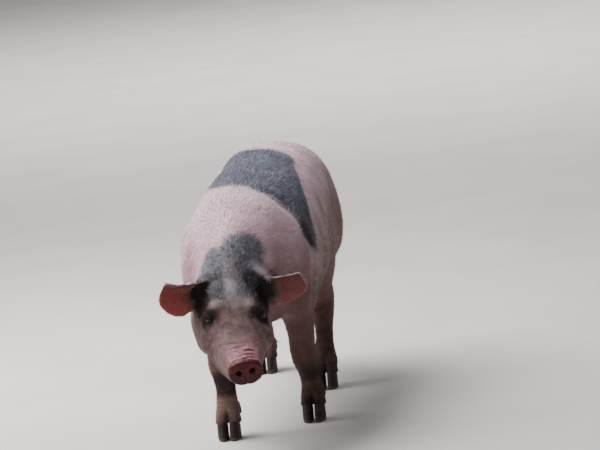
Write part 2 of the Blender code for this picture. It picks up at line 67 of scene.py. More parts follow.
# ---- the skin: one hide over the whole animal ---------------------------------
# Thin, soft hide from the snout disc to the tail tip. The flesh solids are fused
# into one surface, smoothed, set inside them by the depth of the coat, and then
# modelled: lids, nostrils, lips, folds, tendons and teats.
FUSE_VOXEL = 0.0022
FUSE_SWELL = 0.0005  # closes the thin cuts between the flesh solids
EAR_SWELL = 0.0016  # keeps the thin ears whole while they are fused
LID_THICKNESS = 0.0014
HEAD_TURN = Euler((math.radians(24.3), math.radians(2.6), math.radians(15.2))).to_matrix()
EYE_PLACE = Vector((0.049, -0.110, 0.030))  # the left eye in the head's own axes
SIDES = {"left": 1, "right": -1}
PAIRS = ("fore", "hind")
LEGS = [(pair, side) for pair in PAIRS for side in SIDES]
FLESH = ["trunk", "neck", "head", "snout", "lower_jaw", "tail", "ear_left", "ear_right"]
FLESH += [f"{pair}{part}_{side}" for pair, side in LEGS for part in ("leg", "foot")]


def middle(node):
    low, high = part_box(node)
    return (low + high) / 2


def put_in_scene(name, mesh):
    thing = bpy.data.objects.new(name, mesh)
    bpy.context.collection.objects.link(thing)
    return thing


def apply_modifier(thing, kind, **settings):
    """Adds a modifier, sets it and applies it."""
    modifier = thing.modifiers.new(kind.lower(), kind)
    for key, value in settings.items():
        setattr(modifier, key, value)
    bpy.context.view_layer.objects.active = thing
    bpy.ops.object.modifier_apply(modifier=modifier.name)


def merged_copy(node, swell=0.0):
    """A CAD node's shape with its doubles merged, swollen a little along its normals."""
    shape = bmesh.new()
    shape.from_mesh(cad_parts[node].data)
    bmesh.ops.remove_doubles(shape, verts=shape.verts, dist=1e-5)
    shape.normal_update()
    for vertex in shape.verts:
        vertex.co += vertex.normal * swell
    mesh = bpy.data.meshes.new(node)
    shape.to_mesh(mesh)
    shape.free()
    return mesh


def fused_flesh():
    """All the flesh as one closed surface, with the eye sockets roofed by the lids."""
    shape = bmesh.new()
    for node in FLESH:
        mesh = merged_copy(node, EAR_SWELL if node.startswith("ear") else FUSE_SWELL)
        shape.from_mesh(mesh)
        bpy.data.meshes.remove(mesh)
    for side in SIDES:
        bmesh.ops.create_uvsphere(
            shape,
            u_segments=40,
            v_segments=24,
            radius=eye_radius + LID_THICKNESS,
            matrix=Matrix.Translation(middle(f"eye_{side}")),
        )
    mesh = bpy.data.meshes.new("skin")
    shape.to_mesh(mesh)
    shape.free()
    thing = put_in_scene("skin", mesh)
    apply_modifier(thing, "REMESH", mode="VOXEL", voxel_size=FUSE_VOXEL)
    return thing


low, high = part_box("eye_left")
eye_radius = (high.z - low.z) / 2
between_eyes = (middle("eye_left") + middle("eye_right")) / 2
head_at = np.array(between_eyes - HEAD_TURN @ Vector((0, EYE_PLACE.y, EYE_PLACE.z)))
head_axes = np.array(HEAD_TURN)


def in_head(points):
    """Places in the head's own axes: X to the pig's left, -Y along the nose, Z up."""
    return (points - head_at) @ head_axes


def step(value, start, end):
    """A smooth 0 to 1 as value goes from start up or down to end."""
    t = np.clip((value - start) / (end - start), 0, 1)
    return t * t * (3 - 2 * t)


def bump(value, centre, width):
    """A soft hill of height 1 at centre, down to 0.37 at width."""
    return np.exp(-(((value - centre) / width) ** 2))


def blob(points, centre, radii):
    """A soft ball of height 1 at centre, down to 0.37 at its radii."""
    away = (points - np.array(centre)) / np.array(radii)
    return np.exp(-(away**2).sum(axis=1))


def ripple(points, size, seed, waves=9):
    """Smooth unevenness between about -1 and 1, with hills about size across."""
    dice = np.random.default_rng(seed)
    total = np.zeros(len(points))
    for _ in range(waves):
        way = dice.normal(size=3)
        way *= math.pi / size * dice.uniform(0.6, 1.4) / np.linalg.norm(way)
        total += np.sin(points @ way + dice.uniform(0, 2 * math.pi))
    return total / math.sqrt(waves)


class Clay:
    """A mesh's points as an array, to smooth and move by formulas."""

    def __init__(self, thing):
        self.thing = thing
        self.read()

    def read(self):
        mesh = self.thing.data
        self.points = np.empty(len(mesh.vertices) * 3)
        mesh.vertices.foreach_get("co", self.points)
        self.points = self.points.reshape(-1, 3)
        self.edges = np.empty(len(mesh.edges) * 2, np.int64)
        mesh.edges.foreach_get("vertices", self.edges)
        self.edges = self.edges.reshape(-1, 2)
        self.neighbours = np.bincount(self.edges.ravel(), minlength=len(self.points))

    def write(self):
        self.thing.data.vertices.foreach_set("co", self.points.ravel())
        self.thing.data.update()

    def normals(self):
        self.write()
        found = np.empty(len(self.points) * 3)
        self.thing.data.vertex_normals.foreach_get("vector", found)
        return found.reshape(-1, 3)

    def average(self, values):
        """Each point's mean over its neighbours."""
        first, second = self.edges.T
        count = len(self.points)
        total = np.empty_like(values)
        for axis in range(values.shape[1]):
            total[:, axis] = np.bincount(first, values[second, axis], count)
            total[:, axis] += np.bincount(second, values[first, axis], count)
        return total / np.maximum(self.neighbours, 1)[:, None]

    def smooth(self, rounds, strength):
        """Evens the surface; strength may differ from point to point, from 0 to 1."""
        share = np.broadcast_to(strength, len(self.points))[:, None]
        for _ in range(rounds):
            self.points += share * 0.6 * (self.average(self.points) - self.points)

    def push(self, amount):
        """Moves every point along its normal, outwards where amount is above 0."""
        self.points += self.normals() * np.asarray(amount)[:, None]

    def refine(self, chosen, rounds=2):
        """Splits the faces in a region into four, and rounds them off."""
        shape = bmesh.new()
        inside = chosen(self.points)
        self.write()
        shape.from_mesh(self.thing.data)
        faces = [face for face in shape.faces if all(inside[v.index] for v in face.verts)]
        edges = list({edge for face in faces for edge in face.edges})
        bmesh.ops.subdivide_edges(shape, edges=edges, cuts=1, use_grid_fill=True)
        shape.to_mesh(self.thing.data)
        shape.free()
        self.read()
        self.smooth(rounds, chosen(self.points))


def shape_tree(node):
    """A CAD node's surface, to measure distances from."""
    shape = bmesh.new()
    shape.from_mesh(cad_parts[node].data)
    tree = BVHTree.FromBMesh(shape)
    shape.free()
    return tree


ear_trees = {side: shape_tree(f"ear_{side}") for side in SIDES}


def near_ears(points):
    """1 on the ears' blades, down to 0 at their roots and on the head and neck."""
    found = np.zeros(len(points))
    for side, s in SIDES.items():
        ear_low, ear_high = (np.array(corner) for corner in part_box(f"ear_{side}"))
        inside = np.all((points > ear_low - 0.004) & (points < ear_high + 0.004), axis=1)
        out = s * in_head(points)[:, 0]
        for index in np.flatnonzero(inside & (out > 0.060)):
            away = ear_trees[side].find_nearest(points[index])[3]
            found[index] = step(away, 0.0050, 0.0025) * step(out[index], 0.064, 0.084)
    return found


def on_head(points):
    """1 on the head, 0 behind the poll."""
    local = in_head(points)
    return step(local[:, 1], 0.030, -0.010) * step(local[:, 2], -0.160, -0.110)


def on_disc(points):
    return step(in_head(points)[:, 1], -0.238, -0.250)


def on_tail(points):
    return step(points[:, 1], cad_high.y - 0.085, cad_high.y - 0.060)


skin = fused_flesh()
clay = Clay(skin)
# The seams are smoothed away, least on the head and legs and not on the finest parts.
thin = near_ears(clay.points)
crisp = (1 - thin) * (1 - on_disc(clay.points)) * (1 - 0.92 * on_tail(clay.points))
legs = step(clay.points[:, 2], 0.26, 0.20)
clay.smooth(60, (1 - 0.65 * on_head(clay.points)) * (1 - 0.75 * legs) * crisp)
clay.smooth(4, 1 - 0.2 * on_disc(clay.points))
clay.smooth(18, 0.8 * thin)

# Where each eye looks, and its slit, which climbs from the inner corner to the outer.
EYE_FORWARD = math.radians(43)
EYE_RAISED = math.radians(8)
LID_TILT = math.radians(24)
LID_HALF_LENGTH = 0.0108
LID_UPPER = 0.0050
LID_LOWER = 0.0034


def eye_axes(s):
    """An eye's own axes in space: along the slit towards the ear, up over it, and out."""
    out = Vector((
        s * math.cos(EYE_FORWARD) * math.cos(EYE_RAISED),
        -math.sin(EYE_FORWARD) * math.cos(EYE_RAISED),
        math.sin(EYE_RAISED),
    ))
    rise = (Vector((0, 0, 1)) - out * out.z).normalized()
    back = rise.cross(out) * s
    along = back * math.cos(LID_TILT) + rise * math.sin(LID_TILT)
    across = rise * math.cos(LID_TILT) - back * math.sin(LID_TILT)
    return np.array([HEAD_TURN @ axis for axis in (along, across, out)])


def from_eye(points, side):
    """Places as (along the slit, up over it, out), from the eyeball's middle."""
    return (points - np.array(middle(f"eye_{side}"))) @ eye_axes(SIDES[side]).T


def near_eyes(reach):
    def chosen(points):
        found = np.zeros(len(points), bool)
        for side in SIDES:
            found |= np.linalg.norm(points - np.array(middle(f"eye_{side}")), axis=1) < reach
        return found
    return chosen


def whole_head(points):
    local = in_head(points)
    return (local[:, 1] < 0.005) & (local[:, 2] > -0.12) & (np.abs(local[:, 0]) < 0.17)


def snout_half(points):
    local = in_head(points)
    return (local[:, 1] < -0.165) & (local[:, 2] > -0.10) & (np.abs(local[:, 0]) < 0.06)


# The rims of the eye sockets.
clay.smooth(14, near_eyes(0.027)(clay.points))
orbit = np.zeros(len(clay.points))
for side in SIDES:
    u, v, w = from_eye(clay.points, side).T
    orbit += 0.0038 * bump(np.hypot(0.85 * u, v), 0.0150, 0.0090) * step(w, -0.012, 0.0)
clay.push(orbit)
clay.smooth(5, near_eyes(0.034)(clay.points))

TEAT_ROW = 0.046  # half the distance between the two rows
TEATS_ALONG = np.linspace(-0.115, 0.190, 6)
TEAT_HEIGHT = 0.0065


def teat_places():
    """The lowest skin under the belly at each teat."""
    places = []
    for y in TEATS_ALONG:
        for s in SIDES.values():
            away = np.hypot(clay.points[:, 0] - s * TEAT_ROW, clay.points[:, 1] - y)
            under = np.where((away < 0.008) & (clay.points[:, 2] > 0.15), clay.points[:, 2], 9)
            places.append(clay.points[np.argmin(under)].copy())
    return places


teats = teat_places()


def feet_and_teats(points):
    chosen = points[:, 2] < 0.092
    for teat in teats:
        chosen |= np.linalg.norm(points - teat, axis=1) < 0.011
    return chosen


clay.refine(whole_head)
clay.smooth(3, 0.5 * whole_head(clay.points))
clay.refine(snout_half)
clay.refine(near_eyes(0.025))
clay.refine(near_eyes(0.0165))
clay.refine(feet_and_teats)

# The same skin, modelled: the body and legs.
BODY_COAT = 0.0020  # how deep the bristles lie over the skin
FACE_COAT = 0.0008
p = clay.points
local = in_head(p)
legs = step(p[:, 2], 0.24, 0.17)
bare = np.maximum(on_disc(p), near_ears(p))
cover = BODY_COAT + (FACE_COAT - BODY_COAT) * np.maximum(on_head(p), legs)
cover *= (1 - bare) * step(p[:, 2], 0.030, 0.050) * (1 - 0.8 * on_tail(p))
uneven = 0.0007 * ripple(p, 0.055, 3) + 0.0003 * ripple(p, 0.021, 5)
clay.push(uneven * (1 - bare) * (1 - 0.6 * legs) - cover)

# The rump is full all over, and the muscles round it stand out more.
ROUNDINGS = (  # how far each stands out, its middle and its radii
    (0.0040, (-0.050, 0.240, 0.530), (0.045, 0.140, 0.050)),  # top of the rump, on the right
    (0.0025, (0.110, 0.330, 0.475), (0.050, 0.120, 0.050)),  # left hip
    (0.0045, (0.125, 0.330, 0.285), (0.040, 0.080, 0.045)),  # left thigh
    (0.0060, (-0.122, -0.162, 0.418), (0.035, 0.075, 0.042)),  # right shoulder
)
p = clay.points
full = 0.0048 * step(p[:, 1], 0.02, 0.20) * step(p[:, 2], 0.40, 0.47) * step(p[:, 1], 0.47, 0.40)
for height, at, radii in ROUNDINGS:
    full += height * blob(p, at, radii)
clay.push(full)

# Under the tail: the cleft between the hams, the anus and the vulva.
ANUS_Z, VULVA_Z = 0.412, 0.374
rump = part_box("trunk")[1].y
p = clay.points
hams = step(p[:, 1], rump - 0.110, rump - 0.040) * step(p[:, 2], 0.235, 0.290)
cleft = bump(p[:, 0], 0, 0.011) * hams * step(p[:, 2], 0.430, 0.405)
anus = blob(p, (0.002, rump, ANUS_Z), (0.007, 0.040, 0.007))
anus_ring = blob(p, (0.002, rump, ANUS_Z), (0.013, 0.040, 0.013))
vulva = blob(p, (0.002, rump, VULVA_Z), (0.010, 0.045, 0.015))
clay.push(-0.0100 * cleft - 0.0070 * anus + 0.0030 * anus_ring + 0.0060 * vulva)

teat_shape = np.zeros(len(clay.points))
for teat in teats:
    away = np.linalg.norm(clay.points - teat, axis=1)
    teat_shape += TEAT_HEIGHT * bump(away, 0, 0.0028) + 0.0012 * bump(away, 0, 0.0075)
clay.push(teat_shape)

SHOULDER_Y = -0.178  # where the valley behind the shoulder blades starts
# Folds: behind each elbow, in front of each stifle, and across the throat and nape.
p = clay.points
fold = np.zeros(len(p))
for pair, side in LEGS:
    leg_low, leg_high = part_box(f"{pair}leg_{side}")
    level = leg_high.z - 0.030
    if pair == "fore":
        line = p[:, 1] - (leg_high.y + 0.004) - 0.45 * (p[:, 2] - level)
    else:
        line = p[:, 1] - (leg_low.y + 0.012) + 0.55 * (p[:, 2] - level)
    place = bump(p[:, 2], level + 0.020, 0.050) * step(SIDES[side] * p[:, 0], 0.060, 0.095)
    fold += place * (0.0022 * bump(line, 0.011, 0.010) - 0.0034 * bump(line, 0, 0.0055))
neck_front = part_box("neck")[0].y
back_of_neck = step(p[:, 1], neck_front, neck_front + 0.040) * step(p[:, 1], -0.190, -0.240)
creases = np.sin((p[:, 1] + 0.25 * p[:, 2] + 0.008 * ripple(p, 0.06, 11)) * 2 * math.pi / 0.024)
fold -= 0.0005 * step(creases, 0.2, 1.0) * back_of_neck * step(p[:, 2], 0.46, 0.36)
# The shoulder blades stand over a shallow valley that runs down behind them.
aside = np.abs(p[:, 0])
behind_blade = SHOULDER_Y - 0.016 * step(aside, 0.03, 0.09) + 0.004 * ripple(p, 0.12, 13)
blade = step(aside, 0.015, 0.070) * step(p[:, 2], 0.235, 0.290)
fold += blade * (
    0.0022 * bump(p[:, 1], behind_blade - 0.030, 0.020) - 0.0072 * bump(p[:, 1], behind_blade, 0.015)
)
clay.push(fold)

# Legs: tendons behind the cannon bones, the cleft of the toes, wrinkles over the
# pasterns and at the knees and hocks, and the band of skin over the claws.
KNEE_Z = {"fore": 0.148, "hind": 0.182}
p = clay.points
shape = np.zeros(len(p))
for pair, side in LEGS:
    foot = middle(f"{pair}foot_{side}")
    mine = step(np.abs(p[:, 0] - foot.x), 0.060, 0.045) * step(np.abs(p[:, 1] - foot.y), 0.16, 0.12)
    x, y, z = (p - np.array((foot.x, foot.y, 0))).T
    cannon = step(z, 0.080, 0.100) * step(z, 0.150, 0.125)
    shape -= mine * cannon * 0.0016 * bump(np.abs(x), 0.0205, 0.006) * step(y, 0.004, 0.012)
    toes = step(z, 0.072, 0.050) * mine
    shape -= toes * 0.0050 * bump(x, 0, 0.0035)
    rings = np.sin((z + 0.25 * y + 0.002 * ripple(p, 0.03, 17)) * 2 * math.pi / 0.0085)
    shape -= mine * 0.0007 * step(rings, 0.1, 1.0) * bump(z, 0.066, 0.014)
    wrinkles = step(np.sin(z * 2 * math.pi / 0.010), 0.1, 1.0)
    shape -= mine * 0.0007 * wrinkles * bump(z, KNEE_Z[pair], 0.018)
    shape += 0.0018 * mine * bump(z, 0.036, 0.005) * step(z, 0.028, 0.034)
clay.push(shape * step(p[:, 2], 0.020, 0.030))

# The same skin, modelled: the lips, face, snout, ears and lids.
MOUTH_Z = -0.034
MOUTH_CORNER_Y = -0.120
DISC_TWIST = math.radians(-8)
NOSTRIL_OUT = 0.0135
NOSTRIL_UP = 0.0030


def disc_axes(local):
    """Across and up over the snout's disc, from its middle."""
    x, z = local[:, 0], local[:, 2] + 0.0040
    across = x * math.cos(DISC_TWIST) - z * math.sin(DISC_TWIST)
    up = x * math.sin(DISC_TWIST) + z * math.cos(DISC_TWIST)
    return across, up


def mouth_line(local):
    """How high each place is over the mouth's line, which rises to its corner."""
    return local[:, 2] - MOUTH_Z - 0.008 * step(local[:, 1], -0.17, MOUTH_CORNER_Y)


local = in_head(clay.points)
level = mouth_line(local)
along_mouth = step(local[:, 1], MOUTH_CORNER_Y + 0.004, MOUTH_CORNER_Y - 0.012)
along_mouth *= step(local[:, 1], -0.262, -0.250)
lips = -0.0042 * bump(level, 0, 0.0017)
lips += 0.0012 * bump(level, 0.0050, 0.0040) + 0.0010 * bump(level, -0.0045, 0.0038)
corner = np.zeros(len(local))
for s in SIDES.values():
    corner += blob(local, (s * 0.062, MOUTH_CORNER_Y + 0.004, MOUTH_Z + 0.010), (0.03, 0.006, 0.010))
chin_pad = blob(local, (0, -0.185, -0.072), (0.014, 0.014, 0.020))
clay.push(lips * along_mouth - 0.0016 * corner + 0.0018 * chin_pad)

# The face: flews, tear lines, brows, temples and the folds of the cheek.
local = in_head(clay.points)
face = np.zeros(len(clay.points))
for s in SIDES.values():
    x, y, z = (local * (s, 1, 1)).T
    flew_y = -0.180 + 0.032 * step(z, -0.018, -0.062)
    flew = step(x, 0.022, 0.034) * step(z, 0.024, 0.010) * step(mouth_line(local), 0.001, 0.006)
    face += flew * (0.0010 * bump(y, flew_y + 0.0025, 0.0034) - 0.0004 * bump(y, flew_y - 0.0035, 0.0040))
    tear = bump(z, 0.020 + 1.0 * (y + 0.128), 0.0035) * step(y, -0.124, -0.134) * step(y, -0.170, -0.150)
    face -= 0.0007 * tear * step(x, 0.030, 0.040)
    brow = bump(z, 0.054 - 0.20 * (y + 0.105), 0.008) * bump(y, -0.108, 0.022) * step(x, 0.018, 0.030)
    face += 0.0008 * brow
    for number, height in enumerate((0.0625, 0.0695)):
        crease = bump(z, height - 0.20 * (y + 0.105), 0.0015) * bump(y, -0.104, 0.020 - 0.004 * number)
        face -= 0.0007 * crease * step(x, 0.012, 0.022)
    temple = blob(local * (s, 1, 1), (0.068, -0.060, 0.040), (0.020, 0.022, 0.018))
    face -= 0.0018 * temple
    cheek = step(np.sin((y + 0.5 * z + 0.003 * ripple(local, 0.05, 23)) * 2 * math.pi / 0.016), 0.3, 1.0)
    face -= 0.0007 * cheek * step(x, 0.035, 0.050) * bump(y, -0.130, 0.022) * bump(z, -0.030, 0.022)
x, y, z = local.T
frown = np.sin((x + 0.004 * ripple(local, 0.04, 29)) * 2 * math.pi / 0.011)
face -= 0.0005 * step(frown, 0.2, 1.0) * bump(y, -0.100, 0.018) * step(z, 0.040, 0.050) * bump(x, 0, 0.018)
clay.push(face)

# Where the snout wrinkles lie along the nose, and how deep each is.
WRINKLES = ((-0.2420, 0.8), (-0.2320, 1.0), (-0.2190, 0.9), (-0.2070, 0.45), (-0.1930, 0.3))
# The snout: wrinkled skin behind the disc, the disc's rolled edge and the nostrils.
local = in_head(clay.points)
x, y, z = local.T
across, up = disc_axes(local)
snout_top = step(z, -0.012, 0.006) * step(0.034 - np.abs(across), 0, 0.016)
wrinkles = np.zeros(len(local))
for number, (place, depth) in enumerate(WRINKLES):
    curve = place + 4.0 * across**2 + 0.0026 * ripple(local, 0.019, 300 + number)
    patchy = depth * np.clip(0.65 + 0.55 * ripple(local, 0.017, 320 + number), 0, 1.3)
    wrinkles += patchy * (0.0013 * bump(y, curve + 0.0050, 0.0034) - 0.0019 * bump(y, curve, 0.0019))
knots = ripple(local * (1.0, 1.6, 1.0), 0.0065, 340) * step(y, -0.196, -0.215) * step(y, -0.250, -0.244)
clay.push((wrinkles + 0.0004 * knots) * snout_top)

local = in_head(clay.points)
across, up = disc_axes(local)
radius = np.hypot(across / 0.0315, up / 0.0262)
front = step(local[:, 1], -0.2505, -0.2560)
rolled = front * (0.0009 * bump(radius, 0.96, 0.09) - 0.0006 * bump(radius, 0.74, 0.14))
neck_of_disc = 0.0014 * bump(local[:, 1], -0.2475, 0.0030) * step(radius, 0.75, 0.95)
philtrum = front * 0.0016 * bump(across, 0, 0.0022) * step(up, -0.002, -0.010)
clay.push(rolled - neck_of_disc - philtrum)

clay.smooth(5, 0.8 * step(in_head(clay.points)[:, 1], -0.240, -0.246))
local = in_head(clay.points)
across, up = disc_axes(local)
front = step(local[:, 1], -0.236, -0.250)
inwards = head_axes @ np.array((0, 1.0, 0.12))
for s in SIDES.values():
    aside, over = s * across - NOSTRIL_OUT, up - NOSTRIL_UP
    hole = np.hypot(aside / 0.0066, (over - 0.30 * aside) / (0.0054 - 0.12 * aside))
    depth = step(hole, 1.0, 0.40)
    rim = bump(hole, 1.30, 0.25)
    clay.points += np.outer(front * (0.0120 * depth - 0.0008 * rim), inwards)
clay.smooth(2, 0.7 * step(in_head(clay.points)[:, 1], -0.235, -0.245))

# The ears: thin blades with raised veins behind and folds at the root.
EAR_THIN = 0.0012
# How far each blade is raised, how much taller and how much longer it is made.
EAR_SETS = {"left": (0.0080, 0.0, 0.0050), "right": (0.0012, 0.24, 0.0)}
ears = near_ears(clay.points)
local = in_head(clay.points)
normals = clay.normals()
inner = step((normals @ head_axes)[:, 1], 0.2, -0.2)
out = np.abs(local[:, 0])
veins = np.zeros(len(local))
for number, slope in enumerate((-0.55, -0.15, 0.25, 0.7)):
    line = local[:, 2] - 0.055 - slope * (out - 0.070) - 0.004 * ripple(local, 0.03, 40 + number)
    veins += bump(line, 0, 0.0016)
ribs = np.sin((local[:, 2] + 0.25 * out + 0.003 * ripple(local, 0.04, 50)) * 2 * math.pi / 0.0125)
ribs = 0.0005 * step(ribs, 0, 1) * inner * step(out, 0.105, 0.075)
clay.push((-EAR_THIN + 0.0006 * veins * (1 - inner) - ribs) * ears)
clay.points += np.outer(0.0010 * ears * ripple(local, 0.045, 61), head_axes @ np.array((0, 1.0, 0)))
for side, (raised, taller, longer) in EAR_SETS.items():
    blade = ears * step(SIDES[side] * local[:, 0], 0.066, 0.105)
    over = local[:, 2] - np.average(local[:, 2], weights=blade)
    clay.points += np.outer(blade * (raised + taller * over), head_axes[:, 2])
    clay.points += np.outer(blade * SIDES[side] * longer, head_axes[:, 0])

# The fold that each ear's upper edge starts from, on the side of the poll.
local = in_head(clay.points)
out = np.abs(local[:, 0]) - 0.042
down = 0.098 - local[:, 2]
off_fold = 0.55 * out - 0.83 * down + 0.0068 * step(out, 0.018, 0.040)
root_fold = bump(off_fold, 0, 0.0060) * step(0.83 * out + 0.55 * down, -0.002, 0.016)
root_fold *= step(local[:, 1], 0.006, -0.010) * step(local[:, 1], -0.056, -0.044)
root_fold *= step(out, 0.060, 0.044)
clay.push(0.0042 * root_fold)

# The lids: a roof over each eyeball, opened by the slit, with a fold above and below.
for side in SIDES:
    u, v, w = from_eye(clay.points, side).T
    distance = np.sqrt(u**2 + v**2 + w**2)
    arch = np.clip(1 - (u / LID_HALF_LENGTH) ** 2, 0, 1) ** 0.75
    beyond = np.clip(np.abs(u) - LID_HALF_LENGTH, 0, 1)
    inside = np.minimum(LID_UPPER * arch - v, v + LID_LOWER * arch) - beyond
    lid = LID_THICKNESS * (0.55 + 0.60 * step(inside, -0.0002, -0.0022))
    crease = bump(v, 0.0040 + LID_UPPER * arch, 0.0009) - 0.6 * bump(v, 0.0060 + LID_UPPER * arch, 0.0014)
    crease += 0.8 * bump(v, -0.0034 - LID_LOWER * arch, 0.0009)
    crease += 0.6 * bump(v, -0.0060 - LID_LOWER * arch, 0.0010)
    lid -= 0.0005 * crease * step(np.abs(u), 0.0150, 0.0100)
    wanted = eye_radius + lid - (0.0042 + lid) * step(inside, -0.0001, 0.0009)
    angle = np.arccos(np.clip(w / np.maximum(distance, 1e-6), -1, 1))
    share = step(angle, math.radians(84), math.radians(52)) * step(distance, 0.0210, 0.0165)
    stretch = 1 + share * (wanted / np.maximum(distance, 1e-6) - 1)
    offset = clay.points - np.array(middle(f"eye_{side}"))
    clay.points = np.array(middle(f"eye_{side}")) + offset * stretch[:, None]
    clay.smooth(3, 0.8 * share * step(np.abs(inside), 0.0025, 0.0006))
clay.write()

# The hide is thinned to a working size, least where its shape is finest.
SKIN_TRIANGLES = 190000
FINE_PULL = 0.00002  # how much finer the fine places stay
FOLD_RADIUS = 0.016


def thinned(thing, fine, target):
    """Collapses edges of the thing down to target triangles, fine places last."""
    group = thing.vertex_groups.new(name="plain")
    levels = np.round((1 - fine) * 20).astype(int)
    for level in np.unique(levels):
        chosen = np.flatnonzero(levels == level).tolist()
        group.add(chosen, float(level) / 20, "REPLACE")
    thing.data.calc_loop_triangles()
    apply_modifier(
        thing,
        "DECIMATE",
        ratio=target / len(thing.data.loop_triangles),
        vertex_group="plain",
        vertex_group_factor=FINE_PULL,
        use_collapse_triangulate=True,
    )
    thing.vertex_groups.clear()


p = clay.points
fine = 0.6 * on_head(p) + 0.2 * snout_half(p) + 0.4 * near_eyes(0.022)(p)
fine = np.maximum(fine, 0.8 * near_ears(p))
fine = np.maximum(fine, 0.5 * step(p[:, 2], 0.10, 0.08))
fine = np.maximum(fine, 0.45 * on_tail(p))
thinned(skin, np.clip(fine, 0, 1), SKIN_TRIANGLES)
skin.data.shade_smooth()

# What the surface is like, kept on its points for the material: the hollow side of
# the ears, the moist edges of eyes and nostrils, which also carry painted shade, and how deep in a fold a
# place is, which paints shade into creases and a highlight onto ridges.
clay = Clay(skin)


# where the skin is moist and where shade is painted: the slits of the eyes and the insides of the nostrils
def moist_and_shaded(points):
    """1 on the edges of the lids and inside the nostrils."""
    wet_and_shaded = np.zeros(len(points))
    local = in_head(points)
    across, up = disc_axes(local)
    for side, s in SIDES.items():
        u, v, w = from_eye(points, side).T
        slit = np.hypot(u / (LID_HALF_LENGTH + 0.001), v / (LID_UPPER + 0.0005))
        wet_and_shaded = np.maximum(wet_and_shaded, step(slit, 1.12, 0.98) * step(w, 0.0, 0.002))
        hole = np.hypot((s * across - NOSTRIL_OUT) / 0.0060, (up - NOSTRIL_UP) / 0.0052)
        wet_and_shaded = np.maximum(wet_and_shaded, step(hole, 1.05, 0.80) * step(local[:, 1], -0.235, -0.240))
    return wet_and_shaded


def keep_on_points(thing, name, values):
    made = thing.data.attributes.new(name, "FLOAT", "POINT")
    made.data.foreach_set("value", np.asarray(values, np.float32))


skin_normals = clay.normals()
backwards = (skin_normals @ head_axes)[:, 1]
on_ears = near_ears(clay.points)
spans = np.linalg.norm(clay.points[clay.edges[:, 0]] - clay.points[clay.edges[:, 1]], axis=1)
reach = np.bincount(clay.edges.ravel(), np.repeat(spans, 2)) / clay.neighbours
dip = ((clay.average(clay.points) - clay.points) * skin_normals).sum(axis=1) / reach**2
dip = clay.average(np.column_stack((dip, dip)))[:, 0]
keep_on_points(skin, "fold", np.clip(dip * FOLD_RADIUS, -1, 1))
keep_on_points(skin, "moist_and_shaded", moist_and_shaded(clay.points))
keep_on_points(skin, "ear", on_ears)
keep_on_points(skin, "ear_hollow", on_ears * step(backwards, 0.10, -0.25))
# the rims of the ears, where a highlight is painted
keep_on_points(skin, "painted_ear_rim_highlight", on_ears * bump(backwards, 0.05, 0.50))


def srgb(red, green, blue):
    """A tone given from 0 to 255 as it looks, for a shader's socket."""
    levels = [c / 255 for c in (red, green, blue)]
    linear = [c / 12.92 if c <= 0.04045 else ((c + 0.055) / 1.055) ** 2.4 for c in levels]
    return (*linear, 1)


class Wire:
    """A socket in a material; sums written on it add the nodes that work them out."""

    def __init__(self, tree, socket=None):
        self.tree, self.socket = tree, socket

    def node(self, kind, settings, inputs, output=0):
        """Adds a node, sets it, then fills its sockets, and wraps one of its outputs."""
        made = self.tree.nodes.new(kind)
        for name, value in settings.items():
            setattr(made, name, value)
        for name, value in inputs.items():
            if isinstance(value, Wire):
                self.tree.links.new(value.socket, made.inputs[name])
            else:
                made.inputs[name].default_value = value
        return Wire(self.tree, made.outputs[output])

    def math(self, operation, *values):
        return self.node("ShaderNodeMath", {"operation": operation}, dict(enumerate(values)))

    def __add__(self, other):
        return self.math("ADD", self, other)

    __radd__ = __add__

    def __sub__(self, other):
        return self.math("SUBTRACT", self, other)

    def __rsub__(self, other):
        return self.math("SUBTRACT", other, self)

    def __mul__(self, other):
        return self.math("MULTIPLY", self, other)

    __rmul__ = __mul__

    def __truediv__(self, other):
        return self.math("DIVIDE", self, other)

    def __pow__(self, other):
        return self.math("POWER", self, other)

    def __abs__(self):
        return self.math("ABSOLUTE", self)


def most(first, *others):
    for other in others:
        first = first.math("MAXIMUM", first, other)
    return first


def least(first, second):
    return first.math("MINIMUM", first, second)


def fade(value, low, high):
    """A smooth 0 to 1 as value goes from low to high, or down from high to low."""
    flip = low > high
    sockets = {
        "Value": value,
        "From Min": min(low, high),
        "From Max": max(low, high),
        "To Min": 1.0 if flip else 0.0,
        "To Max": 0.0 if flip else 1.0,
    }
    return value.node("ShaderNodeMapRange", {"interpolation_type": "SMOOTHSTEP"}, sockets)


def mixed(share, first, second):
    """first where share is 0 and second where it is 1: tones, or wires of colour."""
    first, second = (srgb(*tone) if isinstance(tone, tuple) else tone for tone in (first, second))
    return share.node("ShaderNodeMix", {"data_type": "RGBA"}, {0: share, 6: first, 7: second}, 2)


def painted(colour, *layers):
    """A colour with layers over it, each a share and what that share turns to."""
    for share, tone in layers:
        colour = mixed(share, colour, tone)
    return colour


def vectors(operation, first, second):
    return first.node("ShaderNodeVectorMath", {"operation": operation}, {0: first, 1: second})


def scaled(place, x, y, z):
    return vectors("MULTIPLY", place, (x, y, z))


def noise(place, scale, detail=2.0, roughness=0.5, output=0):
    sockets = {"Vector": place, "Scale": scale, "Detail": detail, "Roughness": roughness}
    return place.node("ShaderNodeTexNoise", {}, sockets, output)


def ball(place, centre, radii, soft=0.35):
    """1 inside a ball squashed to three radii, with a soft edge."""
    shift = tuple(-c / r for c, r in zip(centre, radii))
    sockets = {0: place, 1: tuple(1 / r for r in radii), 2: shift}
    inner = place.node("ShaderNodeVectorMath", {"operation": "MULTIPLY_ADD"}, sockets)
    away = place.node("ShaderNodeVectorMath", {"operation": "LENGTH"}, {0: inner}, "Value")
    return fade(away, 1 + soft, 1 - soft)


def parts_of(place):
    return [place.node("ShaderNodeSeparateXYZ", {}, {"Vector": place}, axis) for axis in range(3)]


